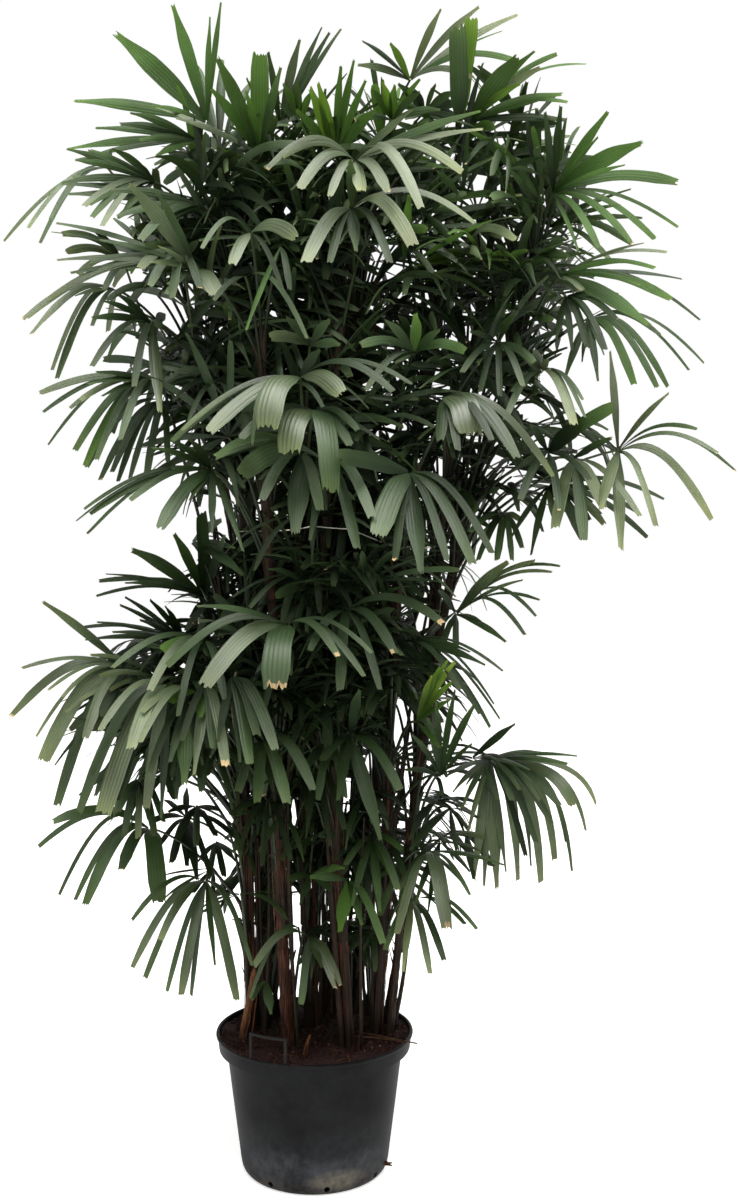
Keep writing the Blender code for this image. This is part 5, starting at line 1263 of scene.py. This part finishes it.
# dry straws, sheath stubs and seedlings lying on the soil
litter = Bunch("soil_litter", [CHIP_MAT, BARK, LEAF_MATS[TINT_AT["d"]], SHOOT], "soil")
for k in range(46):
    r, a, b = 0.19 * math.sqrt(rng.random()), rng.uniform(0, 6.28), rng.uniform(0, 6.28)
    ln = rng.uniform(0.02, 0.07)
    c = np.array((r * math.cos(a), r * math.sin(a), soil_z(r) + 0.002))
    d = np.array((math.cos(b), math.sin(b), rng.uniform(-0.02, 0.25))) * ln / 2
    stalk(litter, (c - d, c + np.array((0, 0, rng.uniform(0.001, 0.008))), c + d), rng.uniform(0.0006, 0.0014), 0.0005, int(rng.choice([0, 0, 1, 3])), 5, 5)
for k in range(60):                       # seedlings and moss tufts
    r, a = 0.12 * math.sqrt(rng.random()), rng.uniform(0, 6.28)
    c = np.array((r * math.cos(a) + 0.01, r * math.sin(a) + 0.03, soil_z(r)))
    b = rng.uniform(0, 6.28)
    tip = c + np.array((math.cos(b) * 0.022, math.sin(b) * 0.022, rng.uniform(0.012, 0.045)))
    stalk(litter, (c, (c + tip) / 2 + UP * 0.008, tip), 0.0012, 0.0004, 2, 4, 5)
straw = [(spot(352, 1003, 0.02), spot(385, 1008, -0.05), spot(417, 1046, -0.10)), (spot(345, 1014, -0.02), spot(368, 1004, -0.04), spot(402, 1030, -0.09))]
for a, b, c in straw:
    a[2], b[2], c[2] = soil_z(0.08) + 0.006, soil_z(0.17) + 0.012, 0.3215
    stalk(litter, (a, b, c), 0.0027, 0.0015, 0, 6, 14)
foot = spot(305, 1052, -0.12)
foot[2] = soil_z(0.12) - 0.004
stalk(litter, (foot, foot + np.array((0.002, -0.002, 0.026)), foot + np.array((0.012, -0.004, 0.052))), 0.0062, 0.0030, 3, 8, 8)
# dry sheath strips around the young shoot, chips by the canes, a root end at the pot's foot
for k in range(7):
    a = spot(243 + rng.uniform(-5, 9), 1046 + rng.uniform(-8, 12), -0.05)
    a[2] = soil_z(0.12) + 0.001
    c = spot(254 + rng.uniform(-4, 5), 990 + rng.uniform(-12, 24), -0.052)
    stalk(litter, (a, (a + c) / 2 + np.array((rng.uniform(-0.006, 0.006), 0, 0)), c), 0.0012, 0.0005, int(rng.choice([0, 1, 3])), 5, 8)
for u0, v0, y0, tall in ((305, 1040, -0.135, 0.030), (358, 1034, -0.100, 0.045), (352, 1040, -0.105, 0.022), (296, 1050, -0.130, 0.016)):
    a = spot(u0, v0, y0)
    a[2] = soil_z(0.13) - 0.002
    stalk(litter, (a, a + np.array((0.001, -0.001, tall * 0.5)), a + np.array((0.004, -0.002, tall))), 0.0042, 0.0012, 1, 7, 8)
root = spot(386, 1164, -0.06)
for k in range(5):
    end = root + np.array((rng.uniform(0.002, 0.014), rng.uniform(-0.008, 0.004), rng.uniform(-0.012, 0.010)))
    stalk(litter, (root - np.array((0.012, -0.004, 0.0)), (root + end) / 2, end), 0.0040, 0.0012, 1, 6, 6)
litter.make()

# ------------------------------------------------------ stage, light and camera
fm, nt = nodes_of("floor_pale")
out = node(nt, "ShaderNodeOutputMaterial")
b = node(nt, "ShaderNodeBsdfPrincipled")
b.inputs["Base Color"].default_value = (0.90, 0.90, 0.90, 1)
b.inputs["Roughness"].default_value = 0.9
b.inputs["Emission Color"].default_value = (1.0, 1.0, 1.0, 1)
b.inputs["Emission Strength"].default_value = 0.55
link(nt, b.outputs[0], out.inputs["Surface"])
me = bpy.data.meshes.new("floor")
bm = bmesh.new()
bmesh.ops.create_grid(bm, x_segments=1, y_segments=1, size=12.0)
bm.to_mesh(me)
bm.free()
me.materials.append(fm)
floor = bpy.data.objects.new("floor", me)
COLL.objects.link(floor)

bpy.context.scene.view_settings.view_transform = "Standard"
world = bpy.data.worlds.new("studio")
bpy.context.scene.world = world
world.use_nodes = True
wn = world.node_tree
wn.nodes.clear()
wo = wn.nodes.new("ShaderNodeOutputWorld")
seen = wn.nodes.new("ShaderNodeBackground")
seen.inputs["Color"].default_value = (1.0, 1.0, 1.0, 1)
seen.inputs["Strength"].default_value = 1.0
lit = wn.nodes.new("ShaderNodeBackground")
lit.inputs["Color"].default_value = (1.0, 0.99, 0.96, 1)
lit.inputs["Strength"].default_value = 0.55
lp = wn.nodes.new("ShaderNodeLightPath")
mx = wn.nodes.new("ShaderNodeMixShader")
wn.links.new(lp.outputs["Is Camera Ray"], mx.inputs[0])
wn.links.new(lit.outputs[0], mx.inputs[1])
wn.links.new(seen.outputs[0], mx.inputs[2])
wn.links.new(mx.outputs[0], wo.inputs["Surface"])


def area(name, loc, aim, size, power, colour=(1, 1, 1)):
    d = bpy.data.lights.new(name, "AREA")
    d.shape = "RECTANGLE"
    d.size, d.size_y = size
    d.energy = power
    d.color = colour
    o = bpy.data.objects.new(name, d)
    o.location = loc
    o.rotation_euler = (Vector(aim) - Vector(loc)).to_track_quat("-Z", "Y").to_euler()
    COLL.objects.link(o)


area("sky_light", (0.3, -1.2, 5.6), (0.1, 0.0, 1.4), (4.2, 3.6), 520, (1.0, 0.99, 0.95))
area("back_fill", (1.2, 5.4, 2.6), (0.1, 0.0, 1.4), (3.5, 3.5), 45)
area("front_fill", (-1.5, -5.2, 2.0), (0.1, 0.0, 1.0), (3.0, 3.0), 90)

cam_data = bpy.data.cameras.new("camera")
cam = bpy.data.objects.new("camera", cam_data)
COLL.objects.link(cam)
cam_data.sensor_fit = "AUTO"
cam_data.sensor_width = 36.0
cam_data.lens = STEPS / 1200.0 * 36.0
cam.location = EYE.tolist()
cam.rotation_euler = (math.radians(90) - PITCH, 0, 0)
bpy.context.scene.camera = cam
